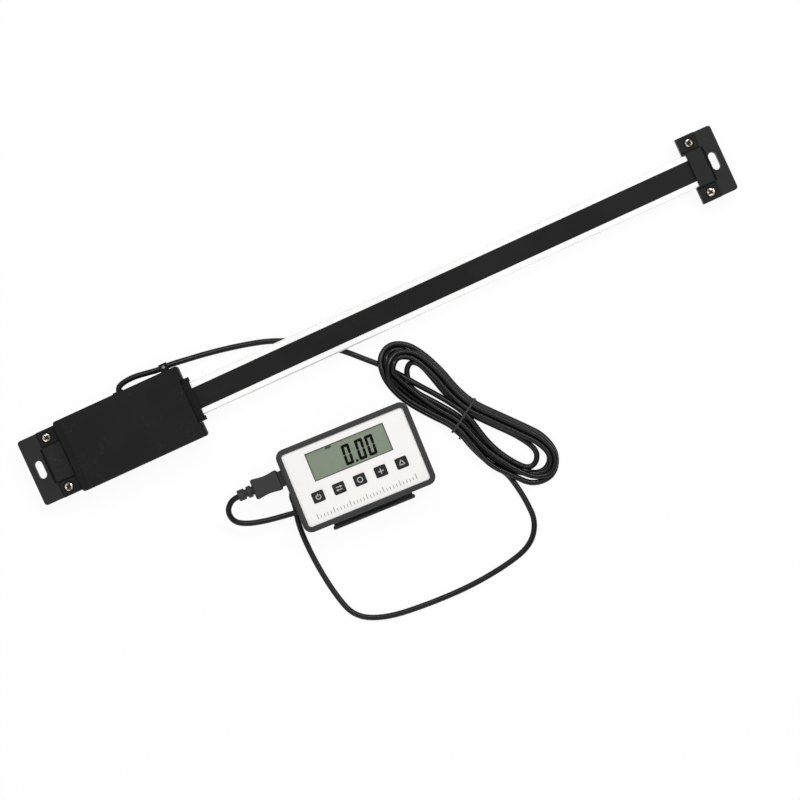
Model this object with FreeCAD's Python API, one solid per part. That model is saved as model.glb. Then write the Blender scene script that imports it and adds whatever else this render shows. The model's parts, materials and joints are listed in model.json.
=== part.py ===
import FreeCAD, Part
import math
import os

# Digital linear scale: a steel beam with two end brackets runs through a reader head, and a lead
# joins the head to a remote readout. Millimetres. +X runs along the beam towards the far bracket,
# +Y points away from the readout, +Z is up. The origin is the centre of the head's mounting face.

V = FreeCAD.Vector

# Clearances
RUN_FIT = 0.05           # sliding faces on the beam
WIPE_FIT = 0.1           # wiper lips round the beam
PART_FIT = 0.1           # pieces that seat in one another
MOVE_GAP = 0.3           # pieces of different bodies that pass each other
TIE_FIT = 0.05           # hank round its tie
WELD = 0.1               # depth to which forms of one piece run into each other
PAST = 1.0               # reach of a cut beyond the piece

# Beam and its tape
BEAM_LEN = 409.55
BEAM_W = 20.0
BEAM_T = 4.0
BEAM_CHAMFER = 0.7
TAPE_W = 12.7
TAPE_T = 0.4
FILM_T = 0.15
FILM_PROUD = 0.05
TAPE_END = 1.5           # bare beam beyond each end of the tape

# End brackets
FOOT_Z = 4.6             # underside of the brackets over the table
SHELF_T = 2.4
NEAR_PLATE = 11.9        # each bracket's plate beyond the beam's end
FAR_PLATE = 10.4
PLATE_TOP = 11.6
EAR_DEPTH = 11.2         # ears along the beam
BRACKET_W = 39.6
BRACKET_CORNER = 1.8
EAR_W = 40.0             # over both ears
EAR_TOP = 12.8
EAR_CHAMFER = 0.5
BRIDGE_W = 20.6
FAR_BRIDGE = 9.2         # far clamp's bridge along the beam; the near one is as deep as the ears
BRIDGE_TOP = 13.8
BRIDGE_OVER = 1.6        # bridge's slope down on to the plate
BRIDGE_TOE = 0.3
GROOVE_W = 1.1
GROOVE_FLOOR = 11.8
SLOT_W = 4.6
SLOT_LEN = 10.6
SLOT_X = 6.0             # from the bracket's outer edge
CLAMP_SCREW_X = 4.75     # from the beam's end
CLAMP_SCREW_Y = 15.2
CLAMP_SCREW_R = 1.45
CLAMP_HEAD_R = 2.6
CLAMP_HEAD_H = 1.7
CLAMP_RECESS = 1.2
CLAMP_RECESS_GAP = 0.6

# Reader head
REST_GAP = 0.2           # head to near bracket at rest
HEAD_LEN = 77.5
HEAD_W = 43.0
HEAD_TOP = 19.0
HEAD_CORNER = 1.6
COVER_Z = 1.2
COVER_WALL = 2.0
COVER_ROOF = 1.8
NEAR_BEVEL = 4.5
NEAR_BEVEL_DROP = 1.6
FAR_BEVEL = 2.2
FAR_BEVEL_DROP = 2.6
SIDE_BEVEL = 0.9
MOUNT_T = 2.0
MOUNT_LEN = 56.0
MOUNT_W = 28.0
MOUNT_HOLE_R = 1.65
MOUNT_HOLE_X = 44.0      # spacing of the tapped holes
MOUNT_HOLE_Y = 20.0
MOUNT_HOLE_DEPTH = 3.0   # beyond the plate, into the slider
CHANNEL_FLOOR = 6.2
CHANNEL_W = 23.2
RAIL_TOP = 11.9
GUIDE_IN = 4.75          # strip's end from the head's end
GUIDE_LIP = 8.6          # inner edge of the lip over the beam
SPRUNG_BACK = 11.0
SPRING_IN = 4.0          # spring's end from the strip's end
SPRING_SLACK = 0.02
SPRING_T = 0.2
SPRING_H = 2.6
PAD_LEN = 12.0
PAD_W = 16.0
WIPER_W = 26.2
WIPER_TOP = 14.4
WIPER_OUT = 2.3          # far wiper beyond the cover
HOOK_OUT = 0.6
HOOK_W = 2.5
WIPER_FOOT = 1.5         # wiper below the beam
BOARD_IN = (9.75, 4.5)   # board's edges from the head's sides
BOARD_T = 1.2
BOARD_CORNER = 1.0
PICKUP_LEN = 44.0
PICKUP_W = 12.0
PICKUP_T = 0.4
CHIP_W = 10.0
CHIP_T = 1.4
DRIVER_LEN = 6.0
DRIVER_W = 4.0
DRIVER_T = 1.2
CRYSTAL_LEN = 5.0
CRYSTAL_W = 2.4
CRYSTAL_H = 1.6
CRYSTAL_END = 1.1
PART_X = 16.0            # chips from the board's middle
PART_Y = 5.0
HEADER_LEN = 10.0
HEADER_W = 5.6
HEADER_H = 3.2
HEADER_IN = 6.0          # header from the board's edge
HEADER_PITCH = 2.4
HEADER_MOUTH = 1.4
WIRE_HOLE_R = 0.5
HEAD_SCREW_IN = (6.25, 6.0)      # cover screws from the head's sides
HEAD_SCREW_R = 1.2
HEAD_SCREW_HEAD_H = 1.5
HEAD_SCREW_SINK = 2.4    # head's recess in the slider's underside
HEAD_SCREW_BITE = 4.0    # length in the cover's boss
HEAD_BOSS_R = 2.4
PLATE_SCREW_R = 1.0
PLATE_SCREW_HEAD_R = 2.1
PLATE_SCREW_HEAD_H = 1.2
PLATE_SCREW_LEN = 5.0
PLATE_SCREW_SINK = 0.1   # head below the mounting face
PLATE_CORNER = 2.0
TAP_GAP = 0.4            # slider's holes are wider than the plate's
POCKET_X = 18.0          # lightening pockets in the slider's rails
POCKET_LEN = 16.0
POCKET_WALL = 2.0
POCKET_CORNER = 1.5

# Lead, its grommet and its clip
CORD_R = 1.65
LEAD_X = 1.8
LEAD_Z = 7.5
GROMMET_BORE = 1.85
GROMMET_R = 2.5
GROMMET_FLANGE = 3.2
GROMMET_OUT = 0.8
CLIP_IN = 7.45           # clip from the head's far end
CLIP_LEN = 4.8
CLIP_OUT = 4.6
CLIP_H = 6.6
CLIP_BORE = 1.95
CLIP_EDGE = 1.0
CLIP_PIN_R = 1.1
CLIP_PIN_H = 0.7
CLIP_PIN_EDGE = 0.4
CLIP_PIN_SHANK_R = 0.64
CLIP_PIN_FIT = 0.02

# Readout: its own X runs along its face, and it lies turned beside the beam
READOUT_X = 106.85
READOUT_Y = -73.0
READOUT_TURN = -2.45
CASE_W = 80.2
CASE_H = 50.0
CASE_CORNER = 5.0
CASE_WALL = 2.0
CASE_TOP = 21.8
CASE_FLANGE_Z = 9.0
CASE_FLANGE_T = 1.6
CASE_EDGE = 1.2
BEZEL_FRAME = 3.15
PANEL_DROP = 0.8         # face panel below the bezel's front
PANEL_T = 1.2
RIM_T = 1.4
RIM_H = 2.4
BOX_SHIFT = 3.5          # back box's middle from the readout's
BOX_H = 38.0
BOX_Z = 3.6
BOX_CORNER = 3.0
BOX_WALL = 1.6
LCD_X = -0.35
LCD_RISE = 0.188         # display's middle above the readout's, as a share of its height
LCD_W = 47.6
LCD_H = 16.5
LCD_MARGIN = 1.6
LCD_STEP = 1.4           # height of the contact ledge
KEY_COUNT = 5
KEY_SPREAD = 0.1583      # pitch of the keys, as a share of the readout's width
KEY_X = -0.3
KEY_DROP = 0.147         # keys below the readout's middle, as a share of its height
KEY_W = 6.7
KEY_H = 6.0
KEY_PROUD = 0.7
KEY_TRAVEL = 0.5
KEY_FLANGE = 0.65
KEY_FLANGE_T = 0.8
KEY_FIT = 0.2
KEY_CORNER = 0.6
KEY_EDGE = 0.4
DOME_R = 2.2
DOME_TAPER = 0.6
MAT_T = 0.6
MAT_IN = 1.0             # mat's end inside the outer keys' sides
MAT_OUT = 0.5            # mat beyond the keys, above and below
MAIN_IN = 1.6            # main board from the cavity's long sides
MAIN_T = 1.2
MAIN_TOP = 16.6
POST_IN = 6.0            # screw posts from the readout's sides
POST_R = 4.3
POST_GAP = 0.3
POST_ROOF = 2.0          # solid end of each post
CASE_SCREW_R = 1.0
CASE_SCREW_HEAD_H = 1.2
CASE_SCREW_SINK = 0.8
CASE_SCREW_LEN = 8.0
STUD_IN = (2.7, 1.4)     # board studs from the main board's edges
STUD_R = 1.8
DOOR_IN = 2.6            # door's inner end from the box's end
DOOR_Y = (-12.8, 10.0)
DOOR_T = 1.2
DOOR_LEDGE = 1.0
DOOR_GRIPS = 4
GRIP_IN = 5.0
GRIP_W = 1.0
GRIP_LEN = 12.0
GRIP_DEPTH = 0.4
CELL_R = 5.1
CELL_LEN = 44.5
CELL_ROOM = 3.65         # between each end of the cells and the box's wall
CELL_PITCH = 10.8
CONTACT_T = 0.3
CONTACT_H = 6.0
CONTACT_EDGE = 3.0       # leaf beyond each cell's axis
NUB_R = 1.9
NUB_LEN = 0.8
FOOT_R = 2.6
FOOT_TAPER = 0.4
FOOT_IN = (4.0, 3.0)     # feet from the box's sides
STAND_HINGE_Y = 13.0
STAND_HINGE_Z = 2.0
STAND_W = 28.0
STAND_T = 2.0
STAND_LIP_W = 50.0
STAND_LIP_T = 2.3
STAND_LIP_H = 4.4
STAND_OUT = 3.8          # lip's outer edge beyond the readout's
STAND_BARREL_R = 1.3
STAND_PIN_R = 0.7
STAND_PIN_FIT = 0.06
STAND_WINDOW = 16.0
STAND_BORDER = 6.0       # round the window
STAND_FLARE = 10.0       # gussets beside the plate, where it meets the lip
STAND_GUSSET = 2.5
LUG_T = 2.2
LUG_R = 1.5

# Data plug in the readout's side
PLUG_GAP = 1.1           # socket to the post beside it
SOCKET_W = 7.5
SOCKET_H = 2.65
SOCKET_LEN = 5.6
SOCKET_WALL = 0.3
SOCKET_BACK = 0.6
SOCKET_EDGE = 0.6
SOCKET_GAP = 0.4         # case round the socket
SHELL_EDGE = 0.5
SHELL_ROOT = 2.0         # shell's length in the overmould
PLUG_SHELL_W = 6.7
PLUG_SHELL_H = 1.85
PLUG_SHELL_IN = 4.5
COLLAR_W = 9.2
COLLAR_H = 6.0
COLLAR_LEN = 2.7
MOULD_LEN = 16.3
MOULD_W = 11.6
MOULD_REAR_W = 10.6
MOULD_H = 8.0
MOULD_WAVE = 0.5
MOULD_EDGE = 1.4
RELIEF_LEN = 8.7
RELIEF_R = 3.2
RELIEF_TIP_R = 2.9
RELIEF_RINGS = 3
RELIEF_NECK = 0.75       # depth of the grooves round the strain relief
RELIEF_BORE_LEN = 6.0
RELIEF_BORE_FIT = 0.15

# Lead's route from the head to the hank, and from the hank to the plug
FLOOR_Z = CORD_R + 0.01
LEAD_ROUTE = [
    (LEAD_X, 15.5, LEAD_Z), (2.0, 26.0, LEAD_Z), (12.5, 26.7, LEAD_Z), (21.5, 25.0, LEAD_Z),
    (28.5, 24.0, LEAD_Z), (34.6, 24.1, 7.3), (44.0, 23.6, 5.0), (58.0, 21.6, 2.5),
    (76.0, 17.6, FLOOR_Z), (94.0, 12.2, FLOOR_Z), (112.0, 2.5, FLOOR_Z), (127.0, -9.0, FLOOR_Z),
    (138.5, -21.0, FLOOR_Z), (146.0, -31.0, FLOOR_Z)]
TAIL_ROUTE = [
    (180.4, -106.0, FLOOR_Z), (184.4, -118.0, FLOOR_Z), (187.3, -131.0, FLOOR_Z),
    (187.4, -144.5, FLOOR_Z), (178.5, -155.5, FLOOR_Z), (161.0, -159.8, FLOOR_Z),
    (137.0, -162.2, FLOOR_Z), (111.0, -161.6, FLOOR_Z), (86.5, -158.8, FLOOR_Z),
    (70.8, -150.3, FLOOR_Z), (66.6, -134.0, FLOOR_Z), (64.6, -114.0, FLOOR_Z),
    (64.2, -97.0, FLOOR_Z), (65.0, -86.5, FLOOR_Z), (65.2, -79.5, FLOOR_Z), (67.2, -70.5, FLOOR_Z),
    (76.5, -67.5, FLOOR_Z), (82.3, -75.0, FLOOR_Z), (78.5, -83.5, 2.6), (69.0, -84.6, 5.6),
    (58.5, -82.0, 5.5), (47.5, -79.7, 6.4), (37.3, -76.6, 8.2), (30.5, -72.3, 10.2),
    (29.6, -65.4, 12.2), (33.9, -60.0, 13.6)]
TAIL_IN = (0.6, 5.97)    # the route's last two points, inside the strain relief

# Hank of the lead: its outline and its two open lobes, seen from above, and its tie
HANK_H = 6.8
HANK_EDGE = 1.6
HANK_OUTER = [
    (140.9, -31.0), (155.4, -17.5), (168.2, -25.5), (175.6, -43.5), (179.6, -59.0), (191.6, -77.0),
    (207.2, -94.5), (214.9, -110.6), (209.0, -123.2), (196.0, -126.6), (183.5, -113.5),
    (173.5, -97.0), (165.8, -78.5), (153.4, -60.0), (144.0, -46.5)]
HANK_LOBES = [
    [(151.3, -28.5), (158.8, -31.5), (165.6, -44.5), (169.6, -58.0), (170.6, -63.5), (163.5, -55.0),
     (153.4, -41.0)],
    [(179.6, -79.0), (190.0, -88.0), (201.5, -99.5), (205.6, -109.0), (202.5, -116.0), (194.0, -111.5),
     (184.0, -96.5)]]
TIE_AT = (175.2, -71.8)
TIE_TURN = 31.9
TIE_INNER_W = 20.8
TIE_T = 0.8
TIE_BAND = 1.2
TIE_H = 8.2
TIE_TAIL = 5.7
TIE_TAIL_R = (0.8, 0.5)
TIE_TAIL_WAY = (0.37, -0.93, 0.0)

# Levels and places that follow from the sizes
BEAM_Z = FOOT_Z + SHELF_T
BEAM_TOP = BEAM_Z + BEAM_T
FILM_TOP = BEAM_TOP + FILM_PROUD
BEAM_X0 = -HEAD_LEN / 2 - REST_GAP - EAR_DEPTH
BEAM_X1 = BEAM_X0 + BEAM_LEN
CLIP_X = HEAD_LEN / 2 - CLIP_IN
SLIDER_X = HEAD_LEN / 2 - COVER_WALL - PART_FIT
SLIDER_Y = HEAD_W / 2 - COVER_WALL - PART_FIT
GUIDE_LEN = HEAD_LEN - 2 * GUIDE_IN
SPRING_LEN = GUIDE_LEN - 2 * SPRING_IN
BOARD_LEN = HEAD_LEN - 2 * BOARD_IN[0]
BOARD_W = HEAD_W - 2 * BOARD_IN[1]
HEADER_Y = BOARD_W / 2 - HEADER_IN
HEAD_SCREW_X = HEAD_LEN / 2 - HEAD_SCREW_IN[0]
HEAD_SCREW_Y = HEAD_W / 2 - HEAD_SCREW_IN[1]
RAIL_Y = CHANNEL_W / 2
NOTCH_X = HEAD_LEN / 2 - FAR_BEVEL
PANEL_TOP = CASE_TOP - PANEL_DROP
PANEL_Z = PANEL_TOP - PANEL_T
TRAY_Z = CASE_FLANGE_Z + CASE_FLANGE_T
CAVITY_W = CASE_W - 2 * CASE_WALL
CAVITY_H = CASE_H - 2 * CASE_WALL
POST_X = CASE_W / 2 - POST_IN
POST_Y = CASE_H / 2 - POST_IN
MAIN_W = 2 * (POST_X - POST_R - POST_GAP)
MAIN_H = CAVITY_H - 2 * MAIN_IN
MAIN_Z = MAIN_TOP - MAIN_T
STUD_X = MAIN_W / 2 - STUD_IN[0]
STUD_Y = MAIN_H / 2 - STUD_IN[1]
LCD_Y = LCD_RISE * CASE_H
KEY_Y = -KEY_DROP * CASE_H
KEY_PITCH = KEY_SPREAD * CASE_W
BOX_LEN = CELL_LEN + 2 * (CELL_ROOM + BOX_WALL)
BOX_X = (BOX_SHIFT - BOX_LEN / 2, BOX_SHIFT + BOX_LEN / 2)
FOOT_X = (BOX_X[0] + FOOT_IN[0], BOX_X[1] - FOOT_IN[0])
FOOT_Y = BOX_H / 2 - FOOT_IN[1]
PLUG_Y = POST_Y - POST_R - PLUG_GAP - SOCKET_W / 2
PLUG_Z = MAIN_Z - SOCKET_H / 2
SOCKET_X0 = -CASE_W / 2 + CASE_WALL + PART_FIT
MOULD_X1 = -CASE_W / 2 - COLLAR_LEN
MOULD_X0 = MOULD_X1 - MOULD_LEN
RELIEF_X0 = MOULD_X0 - RELIEF_LEN
DOOR_X0 = BOX_X[0] + DOOR_IN
DOOR_Z = BOX_Z
CELL_X0 = BOX_X[0] + BOX_WALL + CELL_ROOM
CELL_Z = DOOR_Z + DOOR_T + MOVE_GAP + CELL_R
CELL_Y = (DOOR_Y[0] + DOOR_Y[1]) / 2
KEY_TOP = PANEL_TOP + KEY_PROUD
KEY_FLANGE_TOP = PANEL_Z - MOVE_GAP
DOME_TOP = KEY_FLANGE_TOP - KEY_FLANGE_T - KEY_TRAVEL - MOVE_GAP
STAND_REACH = CASE_H / 2 + STAND_OUT
LIP_Y = -STAND_REACH + STAND_LIP_T
HANK_STEP_Y = -EAR_W / 2 - MOVE_GAP      # beyond this the far bracket passes over the hank
HANK_STEP_Z = FOOT_Z - MOVE_GAP


def block(x, y, z):
    """A box between pairs of limits."""
    return Part.makeBox(x[1] - x[0], y[1] - y[0], z[1] - z[0], V(x[0], y[0], z[0]))


def centred(width, depth, z, at=(0.0, 0.0)):
    """A box of a width and depth about a point."""
    x, y = at
    return block((x - width / 2, x + width / 2), (y - depth / 2, y + depth / 2), z)


def is_upright(edge):
    return edge.BoundBox.ZLength > 1e-6 and edge.BoundBox.XLength + edge.BoundBox.YLength < 1e-6


def lies_at(edge, z):
    return abs(edge.BoundBox.ZMin - z) < 1e-6 and abs(edge.BoundBox.ZMax - z) < 1e-6


def rounded(solid, radius, test):
    """The solid with the edges that pass the test rounded."""
    return solid.makeFillet(radius, [edge for edge in solid.Edges if test(edge)])


def rounded_plate(width, depth, z, radius, at=(0.0, 0.0)):
    """A plate with rounded corners in plan."""
    return rounded(centred(width, depth, z, at), radius, is_upright)


def disc(radius, z, at):
    """An upright cylinder between two levels."""
    return Part.makeCylinder(radius, z[1] - z[0], V(at[0], at[1], z[0]))


def rod_x(radius, x, y, z):
    """A cylinder along X."""
    return Part.makeCylinder(radius, x[1] - x[0], V(x[0], y, z), V(1, 0, 0))


def extruded_x(outline, x):
    """An outline of (y, z) points, extruded along X."""
    points = [V(x[0], y, z) for y, z in outline]
    return Part.Face(Part.makePolygon(points + points[:1])).extrude(V(x[1] - x[0], 0, 0))


def extruded_y(outline, y):
    """An outline of (x, z) points, extruded along Y."""
    points = [V(x, y[0], z) for x, z in outline]
    return Part.Face(Part.makePolygon(points + points[:1])).extrude(V(0, y[1] - y[0], 0))


def joined(shapes):
    """One solid from shapes that touch or overlap."""
    return shapes[0].multiFuse(shapes[1:]).removeSplitter()


def cut(solid, tools):
    return solid.cut(Part.makeCompound(tools))


def corners(x, y):
    """The four points of a rectangle about the origin."""
    return [(i * x, j * y) for i in (-1, 1) for j in (-1, 1)]


def moved(shape, offset, turn=0.0, flip=False):
    """A copy, turned over about X if asked, turned about Z and moved."""
    copy = shape.copy()
    if flip:
        copy.rotate(V(0, 0, 0), V(1, 0, 0), 180)
    copy.rotate(V(0, 0, 0), V(0, 0, 1), turn)
    copy.translate(V(*offset))
    return copy


def pan_screw(head_r, head_h, shank_r, shank_len):
    """A cross-recess screw whose head sits on Z = 0 and whose shank hangs below."""
    head = disc(head_r, (0, head_h), (0, 0))
    head = rounded(head, head_h * 0.6, lambda e: lies_at(e, head_h))
    floor = head_h * 0.35
    recess = (floor, head_h + PAST)
    tools = [centred(head_r * 1.24, head_r * 0.32, recess), centred(head_r * 0.32, head_r * 1.24, recess)]
    tools.append(Part.makeCone(head_r * 0.16, head_r * 0.5, head_h - floor + WELD, V(0, 0, floor)))
    return cut(joined([head, disc(shank_r, (-shank_len, WELD), (0, 0))]), tools)


def flat_screw(head_r, head_h, shank_r, shank_len):
    """A countersunk screw whose head is flush with Z = 0 and whose shank hangs below."""
    head = Part.makeCone(shank_r, head_r, head_h, V(0, 0, -head_h))
    shank = disc(shank_r, (-shank_len, WELD - head_h), (0, 0))
    slot = centred(head_r * 1.3, head_r * 0.3, (-head_h * 0.5, PAST))
    return joined([head, shank]).cut(slot)


# Beam
def make_scale_beam():
    half = BEAM_W / 2
    inner = half - BEAM_CHAMFER
    low = BEAM_Z + BEAM_CHAMFER
    high = BEAM_TOP - BEAM_CHAMFER
    groove = TAPE_W / 2 + PART_FIT
    floor = FILM_TOP - FILM_T - TAPE_T
    outline = [
        (-inner, BEAM_Z), (inner, BEAM_Z), (half, low), (half, high), (inner, BEAM_TOP),
        (groove, BEAM_TOP), (groove, floor), (-groove, floor), (-groove, BEAM_TOP),
        (-inner, BEAM_TOP), (-half, high), (-half, low)]
    return extruded_x(outline, (BEAM_X0, BEAM_X1))


def make_tape(bottom, thickness):
    x = (BEAM_X0 + TAPE_END, BEAM_X1 - TAPE_END)
    return block(x, (-TAPE_W / 2, TAPE_W / 2), (bottom, bottom + thickness))


# End brackets, drawn about the beam's end: the plate lies beyond it, the ears beside the beam
def clamp_screw_places():
    return [(CLAMP_SCREW_X, side * CLAMP_SCREW_Y) for side in (-1, 1)]


def make_bracket_base(depth):
    """A base whose slotted plate is of a given depth."""
    width = (-BRACKET_W / 2, BRACKET_W / 2)
    plate = block((-depth, 0), width, (FOOT_Z, PLATE_TOP))
    shelf = block((-depth, EAR_DEPTH), width, (FOOT_Z, BEAM_Z))
    body = joined([plate, shelf])
    body = rounded(body, BRACKET_CORNER, lambda e: is_upright(e) and e.BoundBox.XMax < WELD - depth)
    body = rounded(body, EAR_CHAMFER, lambda e: lies_at(e, PLATE_TOP) and e.BoundBox.XMax < -WELD)
    run = SLOT_LEN - SLOT_W
    deep = (FOOT_Z - PAST, PLATE_TOP + PAST)
    x = SLOT_X - depth
    slot = [centred(SLOT_W, run, deep, (x, 0))]
    slot += [disc(SLOT_W / 2, deep, (x, side * run / 2)) for side in (-1, 1)]
    holes = [disc(CLAMP_SCREW_R + PART_FIT, deep, at) for at in clamp_screw_places()]
    return cut(body, slot + holes)


def make_bracket_clamp(depth):
    """A clamp whose bridge covers a given depth of the beam and slopes down on to the plate."""
    inner = BEAM_W / 2 + PART_FIT
    side_view = [
        (0, BEAM_TOP), (depth, BEAM_TOP), (depth, BRIDGE_TOP), (0, BRIDGE_TOP),
        (-BRIDGE_OVER, PLATE_TOP + BRIDGE_TOE), (-BRIDGE_OVER, PLATE_TOP), (0, PLATE_TOP)]
    pieces = [extruded_y(side_view, (-BRIDGE_W / 2, BRIDGE_W / 2))]
    for side in (-1, 1):
        y = sorted((side * inner, side * EAR_W / 2))
        pieces.append(block((0, EAR_DEPTH), y, (BEAM_Z, EAR_TOP)))
    body = joined(pieces)
    tools = [block((-WELD, EAR_DEPTH + PAST), (-TAPE_W / 2 - MOVE_GAP, TAPE_W / 2 + MOVE_GAP),
                   (BEAM_TOP - PAST, BEAM_TOP + MOVE_GAP))]
    for side in (-1, 1):
        y = sorted((side * BRIDGE_W / 2, side * (BRIDGE_W / 2 + GROOVE_W)))
        tools.append(block((-PAST, EAR_DEPTH + PAST), y, (GROOVE_FLOOR, BRIDGE_TOP + PAST)))
    for at in clamp_screw_places():
        tools.append(disc(CLAMP_HEAD_R + CLAMP_RECESS_GAP, (EAR_TOP - CLAMP_RECESS, BRIDGE_TOP), at))
        tools.append(disc(CLAMP_SCREW_R + PART_FIT, (0, EAR_TOP), at))
    body = cut(body, tools)
    outer = [e for e in body.Edges if lies_at(e, EAR_TOP) and e.BoundBox.XMax < WELD]
    body = body.makeChamfer(EAR_CHAMFER, outer)
    return rounded(body, EAR_CHAMFER, lambda e: lies_at(e, BRIDGE_TOP) and e.BoundBox.YLength > GROOVE_W)


def at_near_end(shape):
    return moved(shape, (BEAM_X0, 0, 0))


def at_far_end(shape):
    return moved(shape, (BEAM_X1, 0, 0), 180)


def make_bracket_screws():
    seat = EAR_TOP - CLAMP_RECESS
    screw = pan_screw(CLAMP_HEAD_R, CLAMP_HEAD_H, CLAMP_SCREW_R, seat - FOOT_Z - PART_FIT)
    pair = Part.makeCompound([moved(screw, (x, y, seat), 20 * y) for x, y in clamp_screw_places()])
    return Part.makeCompound([at_near_end(pair), at_far_end(pair)])


# Reader head
def cover_form(inset, roof, bottom):
    """The cover's bevelled outside, or its inside where inset and roof are the walls."""
    x = HEAD_LEN / 2 - inset
    y = HEAD_W / 2 - inset
    top = HEAD_TOP - roof
    plan = rounded_plate(2 * x, 2 * y, (bottom, top), HEAD_CORNER)
    along = [(-x, bottom), (x, bottom), (x, top - FAR_BEVEL_DROP), (x - FAR_BEVEL, top),
             (-x + NEAR_BEVEL, top), (-x, top - NEAR_BEVEL_DROP)]
    across = [(-y, bottom), (y, bottom), (y, top - SIDE_BEVEL), (y - SIDE_BEVEL, top),
              (-y + SIDE_BEVEL, top), (-y, top - SIDE_BEVEL)]
    return plan.common(extruded_y(along, (-y, y))).common(extruded_x(across, (-x, x)))


def make_head_cover():
    notch_w = WIPER_W + 4 * PART_FIT
    wall_z = RAIL_TOP + PART_FIT
    far_wall = block((NOTCH_X - COVER_WALL, HEAD_LEN), (-notch_w / 2 - COVER_WALL, notch_w / 2 + COVER_WALL),
                     (wall_z, HEAD_TOP))
    inside = cover_form(COVER_WALL, COVER_ROOF, COVER_Z - PAST).cut(far_wall)
    notch = centred(2 * FAR_BEVEL, notch_w, (COVER_Z - PAST, HEAD_TOP + PAST), (HEAD_LEN / 2, 0))
    near_gate = centred(2 * (COVER_WALL + PAST), notch_w, (COVER_Z - PAST, WIPER_TOP + PART_FIT),
                        (-HEAD_LEN / 2, 0))
    cable = Part.makeCylinder(GROMMET_R, HEAD_W, V(LEAD_X, 0, LEAD_Z), V(0, 1, 0))
    shell = cut(cover_form(0, 0, COVER_Z), [inside, notch, near_gate, cable])
    places = corners(HEAD_SCREW_X, HEAD_SCREW_Y)
    bosses = [disc(HEAD_BOSS_R, (RAIL_TOP, HEAD_TOP - COVER_ROOF + WELD), at) for at in places]
    deep = (RAIL_TOP - PAST, HEAD_TOP - COVER_ROOF - WELD)
    holes = [disc(HEAD_SCREW_R + PART_FIT, deep, at) for at in places]
    return cut(joined([shell] + bosses), holes)


def make_slider_body():
    body = centred(2 * SLIDER_X, 2 * SLIDER_Y, (MOUNT_T, RAIL_TOP))
    body = rounded(body, HEAD_CORNER, is_upright)
    tools = [centred(HEAD_LEN, CHANNEL_W, (CHANNEL_FLOOR, RAIL_TOP + PAST))]
    for at in corners(HEAD_SCREW_X, HEAD_SCREW_Y):
        tools.append(disc(HEAD_SCREW_R + PART_FIT, (0, RAIL_TOP + PAST), at))
        tools.append(disc(2 * HEAD_SCREW_R + PART_FIT, (0, MOUNT_T + HEAD_SCREW_SINK), at))
    for at in corners(MOUNT_HOLE_X / 2, MOUNT_HOLE_Y / 2):
        tools.append(disc(MOUNT_HOLE_R + TAP_GAP, (0, MOUNT_T + MOUNT_HOLE_DEPTH), at))
    for at in plate_screw_places():
        tools.append(disc(PLATE_SCREW_R + PART_FIT, (0, PLATE_SCREW_LEN + MOVE_GAP), at))
    rail = (RAIL_Y + SLIDER_Y) / 2
    pocket_w = SLIDER_Y - RAIL_Y - 2 * POCKET_WALL
    for at in corners(POCKET_X, rail):
        deep = (MOUNT_T + POCKET_WALL, RAIL_TOP + PAST)
        tools.append(rounded_plate(POCKET_LEN, pocket_w, deep, POCKET_CORNER, at))
    passage = GROMMET_R + PART_FIT
    tools.append(block((LEAD_X - passage, LEAD_X + passage), (RAIL_Y + POCKET_WALL, HEAD_W),
                       (LEAD_Z - passage, RAIL_TOP + PAST)))
    return cut(body, tools)


def plate_screw_places():
    return [(0, side * MOUNT_HOLE_Y / 2) for side in (-1, 1)]


def make_mount_plate():
    plate = rounded_plate(MOUNT_LEN, MOUNT_W, (0, MOUNT_T), PLATE_CORNER)
    through = (-PAST, MOUNT_T + PAST)
    tools = [disc(MOUNT_HOLE_R, through, at) for at in corners(MOUNT_HOLE_X / 2, MOUNT_HOLE_Y / 2)]
    for x, y in plate_screw_places():
        tools.append(disc(PLATE_SCREW_R + PART_FIT, through, (x, y)))
        tools.append(Part.makeCone(PLATE_SCREW_HEAD_R + 2 * PART_FIT, PLATE_SCREW_R,
                                   PLATE_SCREW_HEAD_H + PLATE_SCREW_SINK + PART_FIT, V(x, y, 0)))
    return cut(plate, tools)


def make_mount_plate_screws():
    screw = flat_screw(PLATE_SCREW_HEAD_R, PLATE_SCREW_HEAD_H, PLATE_SCREW_R, PLATE_SCREW_LEN)
    places = [(x, y, PLATE_SCREW_SINK) for x, y in plate_screw_places()]
    return Part.makeCompound([moved(screw, place, 0, True) for place in places])


def make_head_screws():
    seat = MOUNT_T + HEAD_SCREW_SINK
    screw = pan_screw(2 * HEAD_SCREW_R, HEAD_SCREW_HEAD_H, HEAD_SCREW_R, RAIL_TOP - seat + HEAD_SCREW_BITE)
    places = corners(HEAD_SCREW_X, HEAD_SCREW_Y)
    return Part.makeCompound([moved(screw, (x, y, seat), 0, True) for x, y in places])


def make_guide(side, back):
    """A strip beside the beam with a lip over its edge."""
    face = BEAM_W / 2 + RUN_FIT
    lip = BEAM_TOP + RUN_FIT
    top = RAIL_TOP - PART_FIT
    outline = [(back, CHANNEL_FLOOR), (face, CHANNEL_FLOOR), (face, lip), (GUIDE_LIP, lip),
               (GUIDE_LIP, top), (back, top)]
    return extruded_x([(side * y, z) for y, z in outline], (-GUIDE_LEN / 2, GUIDE_LEN / 2))


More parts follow.
